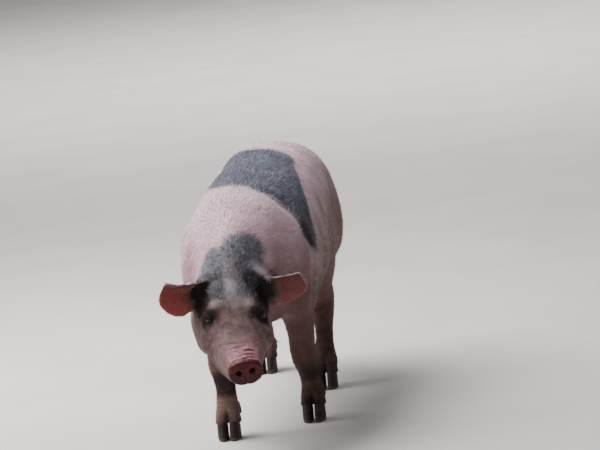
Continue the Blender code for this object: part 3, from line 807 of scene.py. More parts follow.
def object_place(wire):
    return wire.node("ShaderNodeTexCoord", {}, {}, "Object")


def in_axes(place, origin, turn):
    """The place as seen from axes of their own."""
    sockets = {"Vector": place, "Location": tuple(origin), "Rotation": turn.to_euler()}
    return place.node("ShaderNodeMapping", {"vector_type": "TEXTURE"}, sockets)


def attribute(wire, name):
    return wire.node("ShaderNodeAttribute", {"attribute_name": name}, {}, "Fac")


def new_material(name, constants):
    """A material, its shader with some sockets set, and a wire to start from."""
    made = bpy.data.materials.new(name)
    made.use_nodes = True
    shader = made.node_tree.nodes["Principled BSDF"]
    for socket, value in constants.items():
        shader.inputs[socket].default_value = value
    return made, shader, Wire(made.node_tree)


def feed(shader, name, wire):
    wire.tree.links.new(wire.socket, shader.inputs[name])


def feed_relief(shader, height):
    """Bumps of the given height, in metres, over the surface."""
    sockets = {"Height": height, "Strength": 0.8, "Distance": 1.0}
    feed(shader, "Normal", height.node("ShaderNodeBump", {}, sockets))


# The markings, one set for skin and coat: a slate saddle that narrows down each flank,
# a slate patch on the nape, grizzled brow, dark temples and eyes, and dark lower legs.
def dark_spots(wobble, s):
    """The black places on one side of the head: the temple, round the eye, the ear's root."""
    temple = ball(wobble, (s * 0.065, -0.062, 0.043), (0.023, 0.043, 0.037), 0.30)
    eye_radii = (0.0265 + s * 0.0035, 0.030, 0.027)
    lids = ball(wobble, (s * 0.0535 - 0.0015, -0.107, 0.032), eye_radii, 0.26)
    root = ball(wobble, (s * 0.068 + 0.008, -0.036, 0.045), (0.022, 0.034, 0.030), 0.30)
    return most(temple, lids, root)


def markings(wire):
    """Shares of slate, grizzle and black at each place, with the places themselves."""
    place = object_place(wire)
    head = in_axes(place, head_at, HEAD_TURN)
    x, y, z = parts_of(place)
    hx, hy, hz = parts_of(head)
    wander = noise(place, 14, 2) - 0.5
    ragged = noise(scaled(place, 160, 50, 160), 1, 3) - 0.5
    edge = 0.030 * wander + 0.024 * ragged

    # The saddle lies between a front and a rear line and has a round end on each flank.
    right = least(x, 0)
    front = most(-0.168 - 0.55 * x + 9.0 * right * right, -0.184) - 0.035 * fade(z, 0.445, 0.405)
    rise = most((z - 0.39) / 0.154, 0.0)
    rear = rise.math("SMOOTH_MIN", 0.330 * rise**2.45 - 0.112, 0.162 - 0.4 * x, 0.07)
    rear = rear - 1.4 * most(0.366 - z, 0.0) - 0.5 * least(x + 0.02, 0.0)
    ahead, behind = y - front + edge, rear - y + edge
    low_end = z + 0.9 * edge - least(14.0 * (y + 0.155) * (y + 0.155), 0.024)
    low_end = low_end - 0.100 * fade(x, 0.0, -0.05)
    saddle = fade(ahead, -0.008, 0.018) * fade(behind, -0.011, 0.019) * fade(low_end, 0.352, 0.380)
    roan = fade(ahead, -0.045, 0.025) * fade(behind, -0.046, 0.020) * fade(low_end, 0.325, 0.385)

    # The head's patches have wavering edges.
    swirl = vectors("SUBTRACT", noise(head, 60.0, 3.0, output="Color"), (0.5, 0.5, 0.5))
    wobble = vectors("ADD", head, scaled(swirl, 0.022, 0.022, 0.016))
    nape = ball(wobble, (0.031, 0.000, 0.114), (0.043, 0.040, 0.041), 0.28)
    lobe = ball(wobble, (-0.038, -0.004, 0.092), (0.030, 0.032, 0.034), 0.28)
    brow = ball(wobble, (0.004, -0.032, 0.085), (0.070, 0.062, 0.070), 0.30)
    between_ears = ball(wobble, (0.000, -0.018, 0.110), (0.046, 0.040, 0.050), 0.35)
    blaze = ball(wobble, (-0.003, -0.050, 0.082), (0.012, 0.050, 0.040), 0.7)
    left_brow = ball(wobble, (0.043, -0.046, 0.068), (0.021, 0.036, 0.026), 0.35)
    right_brow = ball(wobble, (-0.037, -0.054, 0.067), (0.025, 0.036, 0.028), 0.35)

    # The pale fold that each ear's upper edge starts from.
    out, down = abs(hx) - 0.042, 0.098 - hz
    off_fold = 0.55 * out - 0.83 * down + 0.0068 * fade(out, 0.018, 0.040) + 0.10 * edge
    ear_fold = fade(abs(off_fold), 0.0120, 0.0015)
    ear_fold = ear_fold * fade(0.83 * out + 0.55 * down, -0.010, 0.026) * fade(out, 0.052, 0.038)
    ear_fold = ear_fold * (1 - attribute(wire, "ear_hollow"))
    ear_fold = ear_fold * fade(hy, 0.014, 0.000) * fade(hy, -0.058, -0.046)
    dark = most(*(dark_spots(wobble, s) for s in SIDES.values()))
    return {
        "place": place,
        "head": head,
        "height": z,
        "wander": wander,
        "ragged": ragged,
        # grime and painted shade: darker low down, towards the rump and on the left flank
        "grime_and_shade": fade(z + 0.16 * wander - 0.25 * x - 0.16 * y, 0.492, 0.276),
        "ear_fold": ear_fold * fade(hx, -0.12, 0.02),
        "sides": most(left_brow, right_brow),
        "shin": fade(z, 0.180, 0.110) * fade(x, 0.02, 0.08),
        "pastern": fade(z, 0.100, 0.082) * fade(x, -0.02, -0.06) * fade(y, 0.1, -0.1),
        "saddle": saddle,
        "roan": roan,
        "nape": most(nape, lobe) * (1 - 0.85 * blaze),
        "brow": most(brow, between_ears),
        "blaze": blaze,
        "dark": dark * fade(hy, 0.004, -0.020) * (1 - ear_fold * fade(hx, -0.10, 0.0)),
    }


def dark_legs(place, marks):
    """Where the lower legs are black: the toes, and the knees of the forelegs."""
    spots = []
    for pair, side in LEGS:
        foot = middle(f"{pair}foot_{side}")
        spots.append(ball(place, (foot.x, foot.y, 0.020), (0.040, 0.050, 0.032), 0.4))
        if pair == "fore":
            spots.append(ball(place, (foot.x, foot.y, 0.116), (0.045, 0.070, 0.028), 0.30))
    return most(*spots) * fade(marks["wander"] + 0.6 * marks["ragged"], -0.40, -0.05)


def pig_skin():
    made, shader, wire = new_material("piebald hide", {
        "Subsurface Weight": 0.10,
        "Subsurface Radius": (0.010, 0.004, 0.003),
        "Subsurface Scale": 1.0,
        "Specular IOR Level": 0.16,
    })
    marks = markings(wire)
    place, head, height, dark = (marks[name] for name in ("place", "head", "height", "dark"))
    fold, hollow, wet_and_shaded = (attribute(wire, name) for name in ("fold", "ear_hollow", "moist_and_shaded"))
    hx, hy, hz = parts_of(head)
    side_on = abs(hx)
    left_side = fade(hx, -0.02, 0.02)

    # The body: blotched pink, darker low down, on the legs, towards the rump and on the left flank, partly
    # grime and partly painted shade, with the slate saddle.
    fine_blotch = noise(place, 140, 3, 0.6)
    # darker towards the bottom: partly grime, partly painted shade under the body
    lower = fade(height + 0.10 * marks["wander"], 0.36, 0.16)
    dust = marks["grime_and_shade"] * fade(noise(place, 55, 4, 0.65), 0.42, 0.68)
    streaks = fade(noise(scaled(place, 90, 30, 90), 1, 3), 0.35, 0.66)
    slate = mixed(streaks, (62, 63, 75), (92, 95, 111))
    fleck = ball(place, (0.049, -0.246, 0.478), (0.0030, 0.0022, 0.0060), 0.3)
    colour = painted(
        mixed(fade(noise(place, 26, 3), 0.35, 0.65), (216, 186, 196), (206, 166, 176)),
        (0.45 * fade(fine_blotch, 0.45, 0.70), (192, 146, 156)),
        # grime and painted shade, low down, towards the rump and on the left flank
        (0.90 * marks["grime_and_shade"], (100, 70, 64)),
        (0.82 * lower, (90, 64, 58)),
        (0.60 * marks["shin"], (46, 33, 30)),
        (0.55 * marks["pastern"], (136, 112, 107)),
        (0.40 * dust, (112, 92, 80)),
        (0.55 * marks["roan"], (186, 178, 190)),
        # the saddle painted darker and browner low on the flank, as shade
        (marks["saddle"], mixed(0.85 * fade(height, 0.47, 0.40), slate, (56, 47, 48))),
        (0.8 * fleck, (70, 50, 54)),
    )

    # The face: dusky pink, partly its own tone and partly painted shade of the lowered head, a grizzled
    # brow with a pale streak, pale over the eyes.
    face = mixed(fade(noise(head, 60, 4, 0.6), 0.36, 0.64), (132, 104, 104), (98, 78, 78))
    jowl = fade(side_on, 0.056, 0.076) * fade(hz, 0.040, 0.010) * fade(hy, -0.020, -0.050)
    mottle = noise(head, 70, 3)
    grizzled = mixed(fade(mottle, 0.38, 0.62), (84, 82, 90), (122, 116, 126))
    pale = ball(head, (0, -0.098, 0.060), (0.050, 0.015, 0.020), 0.5) * (1 - dark)
    colour = painted(
        colour,
        # the face painted darker than the body, partly its own tone and partly painted shade
        (fade(hy, -0.015, -0.070) * fade(hz, -0.16, -0.12), face),
        # the right cheek and jowl darker: partly dark hair, partly painted shade
        (0.72 * jowl * fade(hx, 0.0, -0.02), (78, 60, 54)),
        (0.9 * marks["brow"], grizzled),
        (marks["nape"], mixed(streaks, (88, 87, 96), (118, 115, 124))),
        # dark brow patches, the right one painted darker as shade
        (0.85 * marks["sides"], mixed(left_side, (36, 31, 33), (62, 55, 58))),
        (0.52 * marks["blaze"] * marks["brow"], (164, 154, 158)),
        # the pale band over the eyes, kept pale on the left and painted darker as shade on the right
        (0.50 * pale * fade(hx, -0.03, 0.03), (164, 150, 148)),
        (0.40 * pale * fade(hx, -0.01, -0.03), (90, 78, 78)),
    )

    # The snout: rosy on its bridge, with a dark red disc.
    patchy = 0.030 * (mottle - 0.5)
    bridge = fade(hy + 1.6 * patchy, -0.168, -0.212) * fade(hz + patchy, -0.022, 0.006)
    bridge = bridge * fade(side_on + patchy, 0.040, 0.024)
    rosy = mixed(fade(noise(head, 120, 4, 0.6), 0.38, 0.62), (168, 116, 122), (126, 78, 85))
    disc = fade(hy + 0.006 * (noise(head, 200, 2) - 0.5), -0.2450, -0.2500)
    disc_tone = mixed(fade(noise(head, 130, 3), 0.4, 0.6), (92, 31, 32), (54, 18, 20))
    colour = painted(
        colour,
        (0.85 * bridge, rosy),
        (0.75 * fade(hy, -0.150, -0.200) * (1 - bridge), (118, 90, 90)),
        # painted shade under the chin and jaw
        (0.5 * fade(hz, -0.020, -0.060) * fade(hy, -0.060, -0.120), (92, 74, 70)),
        (disc, mixed(fade(hz, 0.002, -0.018), disc_tone, (60, 35, 34))),
    )

    # The ears: red in their hollows, veined, pale behind, with a painted highlight along the rim. The
    # hollows carry painted shade at the root and under the upper edge and painted light lower down, and
    # the right ear is painted redder and brighter for light shining through it.
    outwards = fade(side_on, 0.075, 0.125)
    # the right ear painted redder and brighter than the left, for light shining through it
    deep = mixed(left_side, (102, 34, 33), (78, 28, 30))
    thin_skin = mixed(left_side, (138, 57, 52), (130, 66, 67))
    ear_tone = painted(
        mixed(outwards * (0.75 + 0.5 * (noise(head, 45, 2) - 0.5)), deep, thin_skin),
        (0.40 * fade(noise(scaled(head, 45, 45, 190), 1, 3), 0.52, 0.66), (70, 20, 22)),
        # painted light lower down in the hollow
        (0.60 * fade(hz + 0.3 * patchy, 0.050, 0.012), mixed(left_side, (176, 88, 80), (146, 80, 80))),
        # painted shade under the upper edge of the hollow
        (0.50 * fade(hz, 0.052, 0.074), (62, 20, 21)),
    )
    ear_back = mixed(fade(mottle, 0.40, 0.62), (200, 182, 188), (160, 148, 156))
    colour = painted(
        colour,
        (0.95 * hollow * (1 - 0.85 * dark), ear_tone),
        # painted shade deep in the hollow at the root of the ear
        (0.75 * hollow * fade(side_on, 0.094, 0.074), (52, 26, 28)),
        (0.8 * attribute(wire, "ear") * (1 - hollow) * (1 - dark), ear_back),
        (0.80 * marks["ear_fold"], (192, 178, 188)),
        # a painted highlight along the rims of the ears
        (0.90 * attribute(wire, "painted_ear_rim_highlight") * (1 - dark), (240, 212, 212)),
        (0.90 * dark_legs(place, marks), (36, 28, 27)),
        # painted shade in the creases and a painted highlight on the ridges
        (0.60 * fade(fold, 0.15, 0.9), (66, 36, 36)),
        (0.12 * fade(fold, -0.25, -1.0) * (1 - lower), (232, 208, 208)),
        (0.95 * dark * (1 - hollow * outwards), (24, 17, 18)),
        # painted shade inside the nostrils and along the slits of the eyes, over moist skin
        (0.9 * wet_and_shaded, (44, 20, 20)),
    )
    feed(shader, "Base Color", colour)
    rough = 0.58 + 0.16 * (fine_blotch - 0.5) - 0.14 * disc - 0.30 * wet_and_shaded + 0.10 * lower - 0.06 * bridge
    feed(shader, "Roughness", rough)
    grain = 0.00022 * noise(scaled(place, 420, 90, 420), 1, 3) * (1 - disc)
    cells = place.node("ShaderNodeTexVoronoi", {"feature": "F1"}, {"Vector": place, "Scale": 600})
    feed_relief(shader, grain + 0.00014 * cells + 0.0003 * noise(place, 160, 3))
    return made


skin.data.materials.clear()
skin.data.materials.append(pig_skin())
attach(skin, "root")
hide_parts(*FLESH)

# ---- the eyes: two glassy balls ------------------------------------------------
# Each is a globe with a bulging clear cornea over a dark brown iris, and a wide
# pupil. It fills its socket behind the lids.
CORNEA_RADIUS = 0.0066
CORNEA_BULGE = 0.0009
IRIS_RADIUS = 0.0058
PUPIL_HALF = (0.0030, 0.0022)
GLOBE_SINK = 0.0002  # keeps the globe inside its place


def eye_material(side):
    made, shader, wire = new_material(f"eye {side}", {
        "Roughness": 0.3,
        "Specular IOR Level": 0.2,
        "Coat Weight": 0.6,
        "Coat Roughness": 0.05,
        "Coat IOR": 1.36,
    })
    place = in_axes(object_place(wire), middle(f"eye_{side}"), Matrix(eye_axes(SIDES[side]).T))
    u, v, w = parts_of(place)
    radius = (u * u + v * v) ** 0.5
    pupil = (u / PUPIL_HALF[0]) ** 2.0 + (v / PUPIL_HALF[1]) ** 2.0
    spokes = noise(scaled(place, 900, 900, 20), 1, 2)
    white = mixed(fade(noise(place, 260, 3), 0.4, 0.6), (42, 28, 24), (30, 20, 17))
    colour = painted(
        mixed(fade(spokes, 0.35, 0.65), (24, 14, 9), (40, 25, 16)),
        (fade(radius, IRIS_RADIUS - 0.0014, IRIS_RADIUS), (18, 11, 9)),
        (fade(radius, IRIS_RADIUS - 0.0001, IRIS_RADIUS + 0.0006), white),
        (fade(pupil, 1.15, 0.85), (6, 5, 6)),
    )
    feed(shader, "Base Color", colour)
    return made


for side, s in SIDES.items():
    at = middle(f"eye_{side}")
    bpy.ops.object.select_all(action="DESELECT")
    bpy.ops.mesh.primitive_uv_sphere_add(segments=64, ring_count=48, radius=eye_radius - GLOBE_SINK)
    globe = bpy.context.active_object
    globe.name = f"eyeball_{side}"
    axes = Matrix(eye_axes(s).T)
    for vertex in globe.data.vertices:
        away = math.hypot(vertex.co.x, vertex.co.y)
        if vertex.co.z > 0 and away < CORNEA_RADIUS:
            vertex.co.z += CORNEA_BULGE * (1 - (away / CORNEA_RADIUS) ** 2) ** 1.5
    globe.data.transform(Matrix.Translation(at) @ axes.to_4x4())
    if axes.is_negative:  # the right eye's axes mirror the left one's
        globe.data.flip_normals()
    globe.data.shade_smooth()
    globe.data.materials.append(eye_material(side))
    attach(globe, "root")
    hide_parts(f"eye_{side}")

# ---- the claws and dewclaws: dark ridged horn ------------------------------------
# Two main claws to a foot carry the pig on flat soles; two small dewclaws hang behind
# them. Each is a horn shoe with rings of growth, grown into the skin at its top.
HORN_VOXEL = 0.0009
KEPT_FACES = {"claw": 0.5, "dewclaw": 0.6}
RING_HEIGHT = 0.0038
RING_DEPTH = 0.00022
HORN_REACH = 0.0026  # how far a claw runs up under the skin


def horn_material():
    made, shader, wire = new_material("claw horn", {"Specular IOR Level": 0.25})
    place = object_place(wire)
    x, y, z = parts_of(place)
    grain = noise(scaled(place, 700, 700, 70), 1, 3)
    rings = noise(scaled(place, 40, 40, 420), 1, 2)
    dirt = fade(z + 0.010 * noise(place, 120, 3), 0.016, 0.004)
    colour = painted(
        mixed(fade(grain, 0.38, 0.64), (32, 26, 24), (60, 49, 44)),
        (0.5 * fade(rings, 0.50, 0.70), (78, 65, 56)),
        (0.65 * dirt, (120, 102, 84)),
    )
    feed(shader, "Base Color", colour)
    feed(shader, "Roughness", 0.48 + 0.25 * grain + 0.20 * dirt)
    feed_relief(shader, 0.00018 * grain + 0.00025 * rings)
    return made


def claw_shape(node):
    """A smoothed copy of a claw's solid, ringed, flat below and run up under the skin."""
    claw = put_in_scene(f"horn_{node}", merged_copy(node))
    apply_modifier(claw, "REMESH", mode="VOXEL", voxel_size=HORN_VOXEL)
    form = Clay(claw)
    claw_low, claw_high = (np.array(corner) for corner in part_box(node))
    form.smooth(10, step(form.points[:, 2], 0.0003, 0.0020))
    x, y, z = form.points.T
    tall = (z - claw_low[2]) / (claw_high[2] - claw_low[2])
    rings = np.sin((z + 0.3 * (y - claw_low[1])) * 2 * math.pi / RING_HEIGHT)
    rings *= RING_DEPTH * step(z, 0.003, 0.006) * step(tall, 0.85, 0.70)
    form.push(rings + 0.00012 * ripple(form.points, 0.004, 71))
    form.points[:, 2] += HORN_REACH * step(tall, 0.62, 0.90)
    form.points[:, 2] = np.maximum(form.points[:, 2], 0.0)
    form.write()
    return claw


def drop_strays(thing):
    """Deletes any face that thinning has left hanging on to nothing."""
    shape = bmesh.new()
    shape.from_mesh(thing.data)
    strays = [face for face in shape.faces if all(edge.is_boundary for edge in face.edges)]
    bmesh.ops.delete(shape, geom=strays, context="FACES")
    shape.to_mesh(thing.data)
    shape.free()


horn = horn_material()
claws = [(pair, side, which) for pair, side in LEGS for which in ("inner", "outer")]
for pair, side, which in claws:
    for kind, share in KEPT_FACES.items():
        node = f"{kind}_{pair}_{side}_{which}"
        claw = claw_shape(node)
        apply_modifier(claw, "DECIMATE", ratio=share)
        claw.data.validate()
        drop_strays(claw)
        claw.data.shade_smooth()
        claw.data.materials.clear()
        claw.data.materials.append(horn)
        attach(claw, "root")
        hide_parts(node)

# ---- the coat: short bristles in tufts of three --------------------------------
# Sparse stiff hair, white over the pink hide and black mixed with white over the
# slate. It lies back along the body and down the legs, longest on the crest. Each
# tuft is three tapered bristles that grow from one spot of the skin.
TUFTS = 46000
BRISTLES = 3  # to a tuft
TUFTS_TO_A_PIECE = 6200
TUFT_SPREAD = 0.0013
ROOT_DEPTH = 0.0004
BAKE_PATCH = 0.003  # how wide a tuft is on the map it is baked by
coat_dice = np.random.default_rng(20)


def skin_faces():
    """The skin's triangles as an array of point numbers, with their areas."""
    skin.data.calc_loop_triangles()
    corners = np.empty(len(skin.data.loop_triangles) * 3, np.int64)
    skin.data.loop_triangles.foreach_get("vertices", corners)
    corners = corners.reshape(-1, 3)
    a, b, c = (clay.points[corners[:, n]] for n in range(3))
    return corners, np.linalg.norm(np.cross(b - a, c - a), axis=1) / 2


def around_eyes(points):
    """1 on the lids and in the slits, where no tuft grows."""
    found = np.zeros(len(points))
    for side in SIDES:
        u, v, w = from_eye(points, side).T
        slit = np.hypot(u / 0.0135, (v - 0.0008) / 0.0088)
        found = np.maximum(found, step(slit, 1.15, 0.95) * step(w, 0, 0.002))
    return found


def lie_of_coat(points, normals, ear):
    """The way the hair points: back along the body, down the legs, up the face."""
    local = in_head(points)
    flank = 1 - np.clip(normals[:, 2], 0, 1)
    down = 0.40 * flank + 2.5 * step(points[:, 2], 0.26, 0.17)
    body = np.column_stack((np.zeros(len(points)), np.ones(len(points)), -down))
    face = np.column_stack((0.35 * local[:, 0] / 0.05, np.ones(len(points)), -0.3 * flank)) @ head_axes.T
    outwards = np.sign(local[:, 0])
    blade = np.column_stack((outwards, 0 * outwards, np.full(len(points), -0.25))) @ head_axes.T
    head = on_head(points)[:, None]
    ear = ear[:, None]
    way = (1 - head) * body + head * face
    way = (1 - ear) * way + 1.5 * ear * blade
    way += 0.16 * np.column_stack([ripple(points, 0.05, 80 + n) for n in range(3)])
    way -= normals * (way * normals).sum(axis=1)[:, None]
    return way / np.maximum(np.linalg.norm(way, axis=1), 1e-6)[:, None]


def unwrapped_skin():
    """A light copy of the skin, flattened to a map, with its tree of faces."""
    flat = put_in_scene("skin_map", skin.data.copy())
    apply_modifier(flat, "DECIMATE", ratio=0.06)
    bpy.ops.object.select_all(action="DESELECT")
    flat.select_set(True)
    bpy.context.view_layer.objects.active = flat
    bpy.ops.object.mode_set(mode="EDIT")
    bpy.ops.mesh.select_all(action="SELECT")
    bpy.ops.uv.smart_project(angle_limit=math.radians(66), island_margin=0.002)
    bpy.ops.object.mode_set(mode="OBJECT")
    shape = bmesh.new()
    shape.from_mesh(flat.data)
    bmesh.ops.triangulate(shape, faces=shape.faces)
    layer = shape.loops.layers.uv.active
    tree = BVHTree.FromBMesh(shape)
    corners = np.array([[tuple(loop.vert.co) for loop in face.loops] for face in shape.faces])
    map_places = np.array([[tuple(loop[layer].uv) for loop in face.loops] for face in shape.faces])
    shape.free()
    bpy.data.objects.remove(flat)
    return tree, corners, map_places


def places_on_map(points):
    """Where each point of the skin is on its map."""
    tree, corners, map_places = unwrapped_skin()
    nearest, faces = np.empty((len(points), 3)), np.empty(len(points), np.int64)
    for number, point in enumerate(points):
        nearest[number], _, faces[number], _ = tree.find_nearest(point)
    a, b, c = (corners[faces, n] for n in range(3))
    normal = np.cross(b - a, c - a)
    whole = np.maximum((normal * normal).sum(axis=1), 1e-18)
    share_b = (np.cross(nearest - a, c - a) * normal).sum(axis=1) / whole
    share_c = (np.cross(b - a, nearest - a) * normal).sum(axis=1) / whole
    shares = np.column_stack((1 - share_b - share_c, share_b, share_c))
    return (map_places[faces] * shares[:, :, None]).sum(axis=1)


# The tufts are dealt out over the skin's triangles, denser on the head and legs.
corners, areas = skin_faces()
normals = clay.normals()
ear = near_ears(clay.points)
local = in_head(clay.points)
facing = (normals @ head_axes)[:, 1]
low_leg = step(clay.points[:, 2], 0.20, 0.14)
density = 1 + 0.9 * on_head(clay.points) + 0.5 * low_leg
density *= (1 - 0.97 * on_disc(clay.points)) * (1 - around_eyes(clay.points))
density *= 1 - ear * (0.93 * step(facing, -0.10, -0.45) - 1.2 * bump(facing, 0, 0.30))
density *= step(clay.points[:, 2], 0.030, 0.045)
weight = areas * density[corners].mean(axis=1)
total = np.cumsum(weight) / weight.sum()
drawn = np.searchsorted(total, (np.arange(TUFTS) + coat_dice.uniform(size=TUFTS)) / TUFTS)
drawn = np.minimum(drawn, len(corners) - 1)
spots = coat_dice.dirichlet((1, 1, 1), TUFTS)
root = (clay.points[corners[drawn]] * spots[:, :, None]).sum(axis=1)
root_normal = (normals[corners[drawn]] * spots[:, :, None]).sum(axis=1)
root_normal /= np.linalg.norm(root_normal, axis=1)[:, None]
root_ear = (ear[corners[drawn]] * spots).sum(axis=1)

# How long, thick and steep the bristles are from place to place.
BODY_HAIR = 0.0105
LEG_HAIR = 0.0060
HEAD_HAIR = 0.0062
SNOUT_HAIR = 0.0034
LID_HAIR = 0.0036
EAR_HAIR = 0.0052
TAIL_HAIR = 0.0055
TAIL_TUFT_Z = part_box("tail")[0].z + 0.020
BODY_THICK = 0.000150  # from a bristle's middle to its edge, at the root
BODY_LEAN = math.radians(17)
STRAYS = 0.05  # the share of tufts that are longer and stand out more

root_local = in_head(root)
head = on_head(root)
low_leg = step(root[:, 2], 0.26, 0.16)
top = step(root_normal[:, 2], 0.35, 0.90)
crest = bump(root[:, 0] + 0.04 * step(root[:, 1], -0.1, -0.3), 0, 0.045) * top * (1 - head)
poll = head * step(root_local[:, 1], -0.105, -0.050) * step(root_local[:, 2], 0.02, 0.06)
chin = head * bump(root_local[:, 2], -0.085, 0.030) * step(root_local[:, 1], -0.22, -0.18)
near = np.min([np.linalg.norm(from_eye(root, side), axis=1) for side in SIDES], axis=0)
tail = on_tail(root)
length = BODY_HAIR + 0.0035 * top + 0.0065 * crest * step(root[:, 1], 0.15, -0.10)
length += (LEG_HAIR - length) * low_leg
length += (HEAD_HAIR - length) * head
length += 0.0042 * poll
length += (SNOUT_HAIR - length) * head * step(root_local[:, 1], -0.150, -0.215)
length += 0.0035 * chin
length += (LID_HAIR - length) * step(near, 0.030, 0.018)
length += (EAR_HAIR - length) * root_ear
length += (TAIL_HAIR - length) * tail
length += 0.0100 * tail * step(root[:, 2], TAIL_TUFT_Z + 0.012, TAIL_TUFT_Z)
lean = BODY_LEAN - math.radians(5) * head + math.radians(6) * crest
lean += math.radians(14) * root_ear + math.radians(3) * low_leg
thick = BODY_THICK - 0.000045 * head - 0.000030 * low_leg + 0.000030 * poll
lie = lie_of_coat(root, root_normal, root_ear)
stray = coat_dice.uniform(size=TUFTS) < STRAYS
length *= np.where(stray, 1.5, 1.0)
lean += np.where(stray, math.radians(9), 0)

# The lashes: a row of longer hairs along each upper lid, standing out over the eye.
LASHES = 15  # tufts to a lid
LASH_LENGTH = 0.0085
LASH_THICK = 0.00011
LASH_LEAN = math.radians(24)
for side in SIDES:
    u = np.linspace(-0.0078, 0.0092, LASHES)
    v = LID_UPPER * np.clip(1 - (u / LID_HALF_LENGTH) ** 2, 0, 1) ** 0.75 + 0.0010
    w = np.sqrt((eye_radius + 0.0009) ** 2 - u**2 - v**2)
    axes = eye_axes(SIDES[side])
    root = np.vstack((root, np.column_stack((u, v, w)) @ axes + np.array(middle(f"eye_{side}"))))
    lie = np.vstack((lie, np.column_stack((30 * u, -0.25 + 0 * u, 1 + 0 * u)) @ axes))
    root_normal = np.vstack((root_normal, np.tile(axes[1], (LASHES, 1))))
    length = np.append(length, np.full(LASHES, LASH_LENGTH))
    lean = np.append(lean, np.full(LASHES, LASH_LEAN))
    thick = np.append(thick, np.full(LASHES, LASH_THICK))
root_map = places_on_map(root)


def bristles(name, chosen):
    """One joined mesh of the chosen tufts."""
    count = len(chosen) * BRISTLES
    tuft = np.repeat(chosen, BRISTLES)
    up = root_normal[tuft]
    way = lie[tuft] + 0.14 * coat_dice.normal(size=(count, 3))
    way -= up * (way * up).sum(axis=1)[:, None]
    way /= np.linalg.norm(way, axis=1)[:, None]
    across = np.cross(up, way)
    around = coat_dice.uniform(0, 2 * math.pi, count)
    out = TUFT_SPREAD * np.sqrt(coat_dice.uniform(size=count))
    base = root[tuft] + (out * np.cos(around))[:, None] * way + (out * np.sin(around))[:, None] * across
    base -= up * ROOT_DEPTH
    long = (length[tuft] * coat_dice.uniform(0.65, 1.25, count))[:, None]
    steep = (lean[tuft] * coat_dice.uniform(0.5, 1.6, count))[:, None]
    sway = coat_dice.normal(size=count)[:, None] * 0.10
    middle_place = base + long * 0.5 * (way * np.cos(steep) + up * np.sin(steep))
    rise = steep * 0.30
    tip = middle_place + long * 0.5 * (way * np.cos(rise) + up * np.sin(rise) + across * sway)
    wide = (thick[tuft] * coat_dice.uniform(0.8, 1.25, count))[:, None]
    points = np.empty((count, 7, 3))
    for corner in range(3):
        turn = corner * 2 * math.pi / 3
        ring = across * math.cos(turn) + up * math.sin(turn)
        points[:, corner] = base + wide * ring
        points[:, 3 + corner] = middle_place + 0.8 * wide * ring
    points[:, 6] = tip

    first = np.arange(count)[:, None] * 7
    walls = [first + np.array((n, (n + 1) % 3, 3 + (n + 1) % 3, 3 + n)) for n in range(3)]
    tips = [first + np.array((3 + n, 3 + (n + 1) % 3, 6)) for n in range(3)]
    foot = first + np.array((2, 1, 0))
    quads, triangles = np.concatenate(walls), np.concatenate([*tips, foot])
    loops = np.concatenate((quads.ravel(), triangles.ravel())).astype(np.int32)
    sizes = np.concatenate((np.full(len(quads), 4), np.full(len(triangles), 3)))
    mesh = bpy.data.meshes.new(name)
    mesh.vertices.add(count * 7)
    mesh.vertices.foreach_set("co", points.ravel())
    mesh.loops.add(len(loops))
    mesh.loops.foreach_set("vertex_index", loops)
    mesh.polygons.add(len(sizes))
    mesh.polygons.foreach_set("loop_start", np.cumsum(sizes) - sizes)
    mesh.update(calc_edges=True)
    thing = put_in_scene(name, mesh)
    keep_on_points(thing, "tone", np.repeat(coat_dice.uniform(size=count), 7))
    keep_on_points(thing, "reach", np.tile((0, 0, 0, 0.5, 0.5, 0.5, 1), count))

    patch = np.empty((count, 7, 2))
    slot = np.tile(np.arange(BRISTLES), len(chosen))[:, None]
    patch[:, :, 0] = (slot + np.array((0, 0.35, 0.7, 0, 0.35, 0.7, 0.35))) / BRISTLES
    patch[:, :, 1] = np.array((0, 0, 0, 0.5, 0.5, 0.5, 1))
    patch = root_map[tuft][:, None, :] + BAKE_PATCH * (patch - 0.5)
    layer = mesh.uv_layers.new(name="OFBake")
    layer.data.foreach_set("uv", np.clip(patch.reshape(-1, 2)[loops], 0, 1).astype(np.float32).ravel())
    return thing


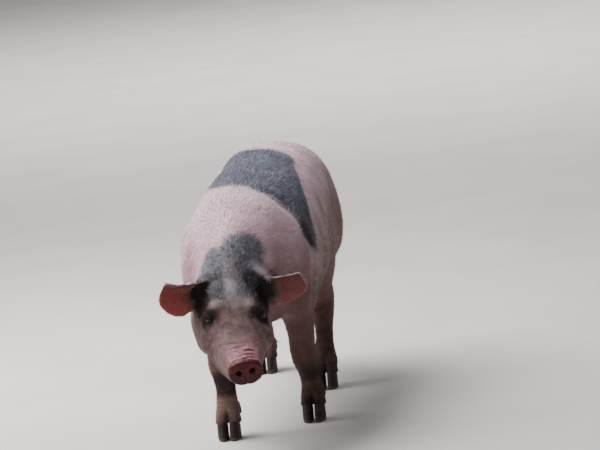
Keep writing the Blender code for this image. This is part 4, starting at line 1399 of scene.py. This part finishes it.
def coat_material():
    made, shader, wire = new_material("bristle coat", {"Specular IOR Level": 0.18})
    marks = markings(wire)
    tone, reach = attribute(wire, "tone"), attribute(wire, "reach")
    hx, hy, hz = parts_of(marks["head"])
    legs = dark_legs(marks["place"], marks)
    on_face = fade(hy, -0.085, -0.115) * fade(hz, -0.16, -0.12)
    pale = painted(
        mixed(tone, (234, 222, 226), (206, 182, 188)),
        # the hairs share the grime and painted shade low down and on the left flank
        (0.88 * marks["grime_and_shade"], (130, 99, 91)),
        # hairs darker towards the bottom: partly grime, partly painted shade
        (0.80 * fade(marks["height"], 0.36, 0.16), (100, 74, 67)),
        (0.60 * marks["shin"], (52, 38, 35)),
        (0.60 * marks["pastern"], (150, 128, 122)),
        # face hairs darker, partly painted shade of the lowered head
        (0.90 * on_face, (126, 102, 100)),
        (0.8 * most(marks["brow"], marks["nape"]) * (1 - on_face), (204, 196, 201)),
        (0.8 * marks["ear_fold"], (222, 210, 217)),
    )
    deep = most(marks["dark"], legs, 0.85 * marks["sides"])
    black = painted(
        mixed(tone, (50, 51, 61), (112, 115, 131)),
        (0.40 * reach, (146, 148, 162)),
        # the saddle's hairs painted darker low on the flank, as shade
        (0.8 * marks["saddle"] * fade(marks["height"], 0.47, 0.40), (60, 51, 52)),
        (deep, mixed(tone, (22, 17, 18), (50, 42, 42))),
    )
    grizzle = most(0.62 * marks["brow"], 0.90 * marks["sides"]) * (1 - 0.65 * marks["blaze"])
    patches = most(0.97 * marks["saddle"], 0.78 * marks["nape"], 0.26 * marks["roan"])
    share = most(patches, 0.98 * marks["dark"], grizzle) * (1 - marks["ear_fold"])
    share = most(share, 0.97 * legs)
    feed(shader, "Base Color", mixed(fade(share - tone, -0.01, 0.05), pale, black))
    feed(shader, "Roughness", 0.42 + 0.16 * tone)
    return made


coat = coat_material()
order = np.argsort(root[:, 1], kind="stable")
for number, first in enumerate(range(0, len(order), TUFTS_TO_A_PIECE)):
    piece = bristles(f"coat_{number + 1}", order[first:first + TUFTS_TO_A_PIECE])
    piece.data.materials.append(coat)
    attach(piece, "root")

# ---- the floor, the lights and the camera ----------------------------------------
# A wide pale studio floor under soft lights: a broad one above and to one side, a
# weak warm fill in front, one that evens the floor far behind, and a grey room.
FLOOR_WIDTH = 80.0
FLOOR_GAP = 0.0002  # how far it lies under the claws


def floor_material():
    made, shader, wire = new_material("studio floor", {"Roughness": 0.9})
    tone = fade(noise(object_place(wire), 3, 3), 0.3, 0.7)
    feed(shader, "Base Color", mixed(tone, (214, 209, 202), (221, 216, 210)))
    return made


bpy.ops.object.select_all(action="DESELECT")
bpy.ops.mesh.primitive_plane_add(size=FLOOR_WIDTH, location=(0, 0, -FLOOR_GAP))
floor = bpy.context.active_object
floor.name = "floor"
floor.data.materials.append(floor_material())

room = bpy.data.worlds.new("room")
bpy.context.scene.world = room
room.use_nodes = True
walls = room.node_tree.nodes["Background"].inputs
walls["Color"].default_value = (0.93, 0.94, 1.0, 1)
walls["Strength"].default_value = 0.28


def soft_light(name, place, aim, size, power, colour):
    lamp = bpy.data.lights.new(name, "AREA")
    lamp.shape = "RECTANGLE"
    lamp.size, lamp.size_y = size
    lamp.energy = power
    lamp.color = colour
    thing = bpy.data.objects.new(name, lamp)
    bpy.context.collection.objects.link(thing)
    thing.location = place
    thing.rotation_euler = (Vector(aim) - Vector(place)).to_track_quat("-Z", "Y").to_euler()


soft_light("overhead", (-1.3, 0.4, 2.4), (0, 0, 0.3), (2.0, 2.0), 172, (0.98, 0.985, 1.0))
soft_light("front", (-1.8, -2.8, 1.6), (0, -0.2, 0.3), (1.6, 1.6), 16, (1.0, 0.96, 0.92))
soft_light("far floor", (-0.6, 7.5, 3.4), (-0.6, 8.0, 0), (6.0, 6.0), 420, (1.0, 0.99, 0.97))

# A long lens looks down a little at the pig's face from the front left.
CAMERA_AT = Vector((0.9891, -6.2119, 1.347))
CAMERA_YAW = math.radians(8.2)
CAMERA_DROP = math.radians(8.6)
CAMERA_ROLL = math.radians(-6.3)
LENS_MM, SENSOR_MM = 180, 36
aim = Vector((
    -math.sin(CAMERA_YAW) * math.cos(CAMERA_DROP),
    math.cos(CAMERA_YAW) * math.cos(CAMERA_DROP),
    -math.sin(CAMERA_DROP),
))
lens = bpy.data.cameras.new("camera")
lens.lens = LENS_MM
lens.sensor_width = SENSOR_MM
lens.clip_end = 200
camera = bpy.data.objects.new("camera", lens)
bpy.context.collection.objects.link(camera)
camera.matrix_world = (
    Matrix.Translation(CAMERA_AT)
    @ aim.to_track_quat("-Z", "Y").to_matrix().to_4x4()
    @ Matrix.Rotation(CAMERA_ROLL, 4, "Z")
)
bpy.context.scene.camera = camera
